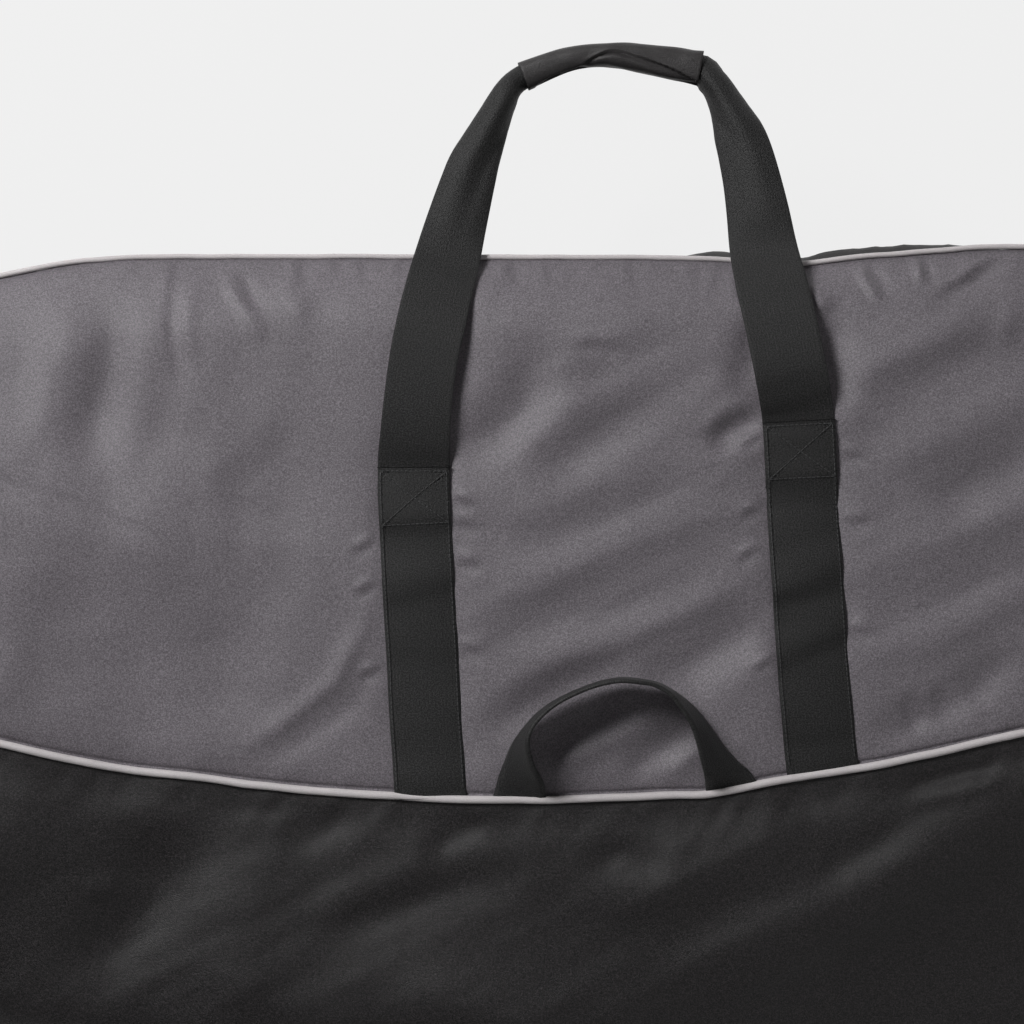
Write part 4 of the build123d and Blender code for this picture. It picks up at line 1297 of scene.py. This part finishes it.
def on_box(path, u, v):
    """The point of a strap this far across it and this far below its upper end."""
    side = path_sides(path[:, :3])[0]
    down = from_top(path)[::-1]
    point = [np.interp(v, down, path[::-1, k]) + u * np.interp(v, down, side[::-1, k]) for k in range(3)]
    return np.array(point) + [0, 0, THREAD_LIFT]


stitch_runs = []
for strap_side, strap_points in (("left", SEWN_LEFT), ("right", SEWN_RIGHT)):
    strap_path = sewn_path(strap_points)
    edge_run = WEB_FULL / 2 - 1.7
    for across in (-edge_run, edge_run):
        stitch_runs.append(on_strap(strap_side, strap_path, across, 2.0, from_top(strap_path)[0] - 5))
    box_top, box_low = 2.2, BOX_LONG
    # the box's two ends, then its two diagonals: the side it starts from, and where it starts and stops
    for way, start, stop in ((1, box_top, box_top), (1, box_low, box_low), (1, box_top, box_low),
                             (-1, box_top, box_low)):
        stitch_runs.append([on_box(strap_path, u, v) for u, v in zip(
            np.linspace(-way * edge_run, way * edge_run, 15), np.linspace(start, stop, 15))])
box_stitches = stitches("strap_stitches", stitch_runs, "front_half")
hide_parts("front_box_stitching")

wall_runs = {"front_half": (ZIP_Z + TAPE_EDGE + 2.2, 0.15), "back_half": (ZIP_Z - TAPE_EDGE - 2.2, 0.15)}
for wall_body, (level, proud) in wall_runs.items():
    ring_points, ring_normals = ring_at(np.arange(HINGE_HALF, RING[3] - HINGE_HALF, 4.0))
    line = np.column_stack([ring_points + ring_normals * proud, np.full(len(ring_points), level)])
    stitches(f"{wall_body}_zip_stitches", [line], wall_body, pitch=3.4, long=2.5, radius=0.3)

for node, paint in (("zipper_end_stops", METAL), ("slider_left", METAL), ("slider_right", METAL),
                    ("pull_tab_left", METAL), ("pull_tab_right", METAL),
                    ("pull_grip_left", RUBBER), ("pull_grip_right", RUBBER)):
    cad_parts[node].data.materials.clear()
    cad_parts[node].data.materials.append(paint)


# ---- camera, floor and light -----------------------------------------------------------------------
FLOOR_HALF = 6e4
FLOOR_GLOW = 0.816      # keeps the floor nearly white
SKY_LOW, SKY_HIGH = 0.86, 0.072
LENS = 100.4


def stage():
    """Pale floor that stays nearly white, soft light from the upper left, camera over the front panel."""
    floor_paint = Paint("floor", (0.05, 0.05, 0.05), 0.9, specular=0.0)
    patches = floor_paint.noise(3.0, 2.0, 0.5)
    floor_paint.colour_by(floor_paint.tint(patches, 0.995, 1.005))
    floor_paint.shader.inputs["Emission Color"].default_value = (1, 1, 1, 1)
    floor_paint.shader.inputs["Emission Strength"].default_value = FLOOR_GLOW
    floor = mesh("floor", [(x * FLOOR_HALF, y * FLOOR_HALF, 0) for x, y in ((-1, -1), (1, -1), (1, 1), (-1, 1))],
                 [(0, 1, 2, 3)], floor_paint.material, smooth=False)
    world = bpy.data.worlds.new("world")
    bpy.context.scene.world = world
    world.use_nodes = True
    nodes, links = world.node_tree.nodes, world.node_tree.links
    direction = nodes.new("ShaderNodeTexCoord").outputs["Generated"]
    parts = nodes.new("ShaderNodeSeparateXYZ")
    rise = nodes.new("ShaderNodeMapRange")      # as pale as the floor along the horizon, dimmer above it
    for key, value in (("From Min", 0.2), ("From Max", 0.25), ("To Min", SKY_LOW), ("To Max", SKY_HIGH)):
        rise.inputs[key].default_value = value
    links.new(direction, parts.inputs["Vector"])
    links.new(parts.outputs["Z"], rise.inputs["Value"])
    links.new(rise.outputs["Result"], nodes["Background"].inputs["Color"])

    def area(name, place_m, target_m, size, power):
        light = bpy.data.lights.new(name, "AREA")
        light.shape = "RECTANGLE"
        light.size, light.size_y = size
        light.energy = power
        obj = bpy.data.objects.new(name, light)
        obj.location = place_m
        obj.rotation_euler = (Vector(target_m) - Vector(place_m)).to_track_quat("-Z", "Y").to_euler()
        bpy.context.scene.collection.objects.link(obj)

    area("key", (-1.40, 1.36, 1.98), (0.0, 0.1, 0.15), (0.9, 0.9), 72)
    area("fill", (1.1, -0.9, 2.0), (0.2, 0, 0.1), (1.6, 1.6), 6)
    camera = bpy.data.cameras.new("camera")
    camera.sensor_width = 36
    camera.lens = LENS
    camera.clip_end = 50
    obj = bpy.data.objects.new("camera", camera)
    obj.location = (EYE + [0, 0, CROWN_Z]) * MM
    bpy.context.scene.collection.objects.link(obj)
    bpy.context.scene.camera = obj
    bpy.context.scene.view_settings.view_transform = "Standard"


stage()
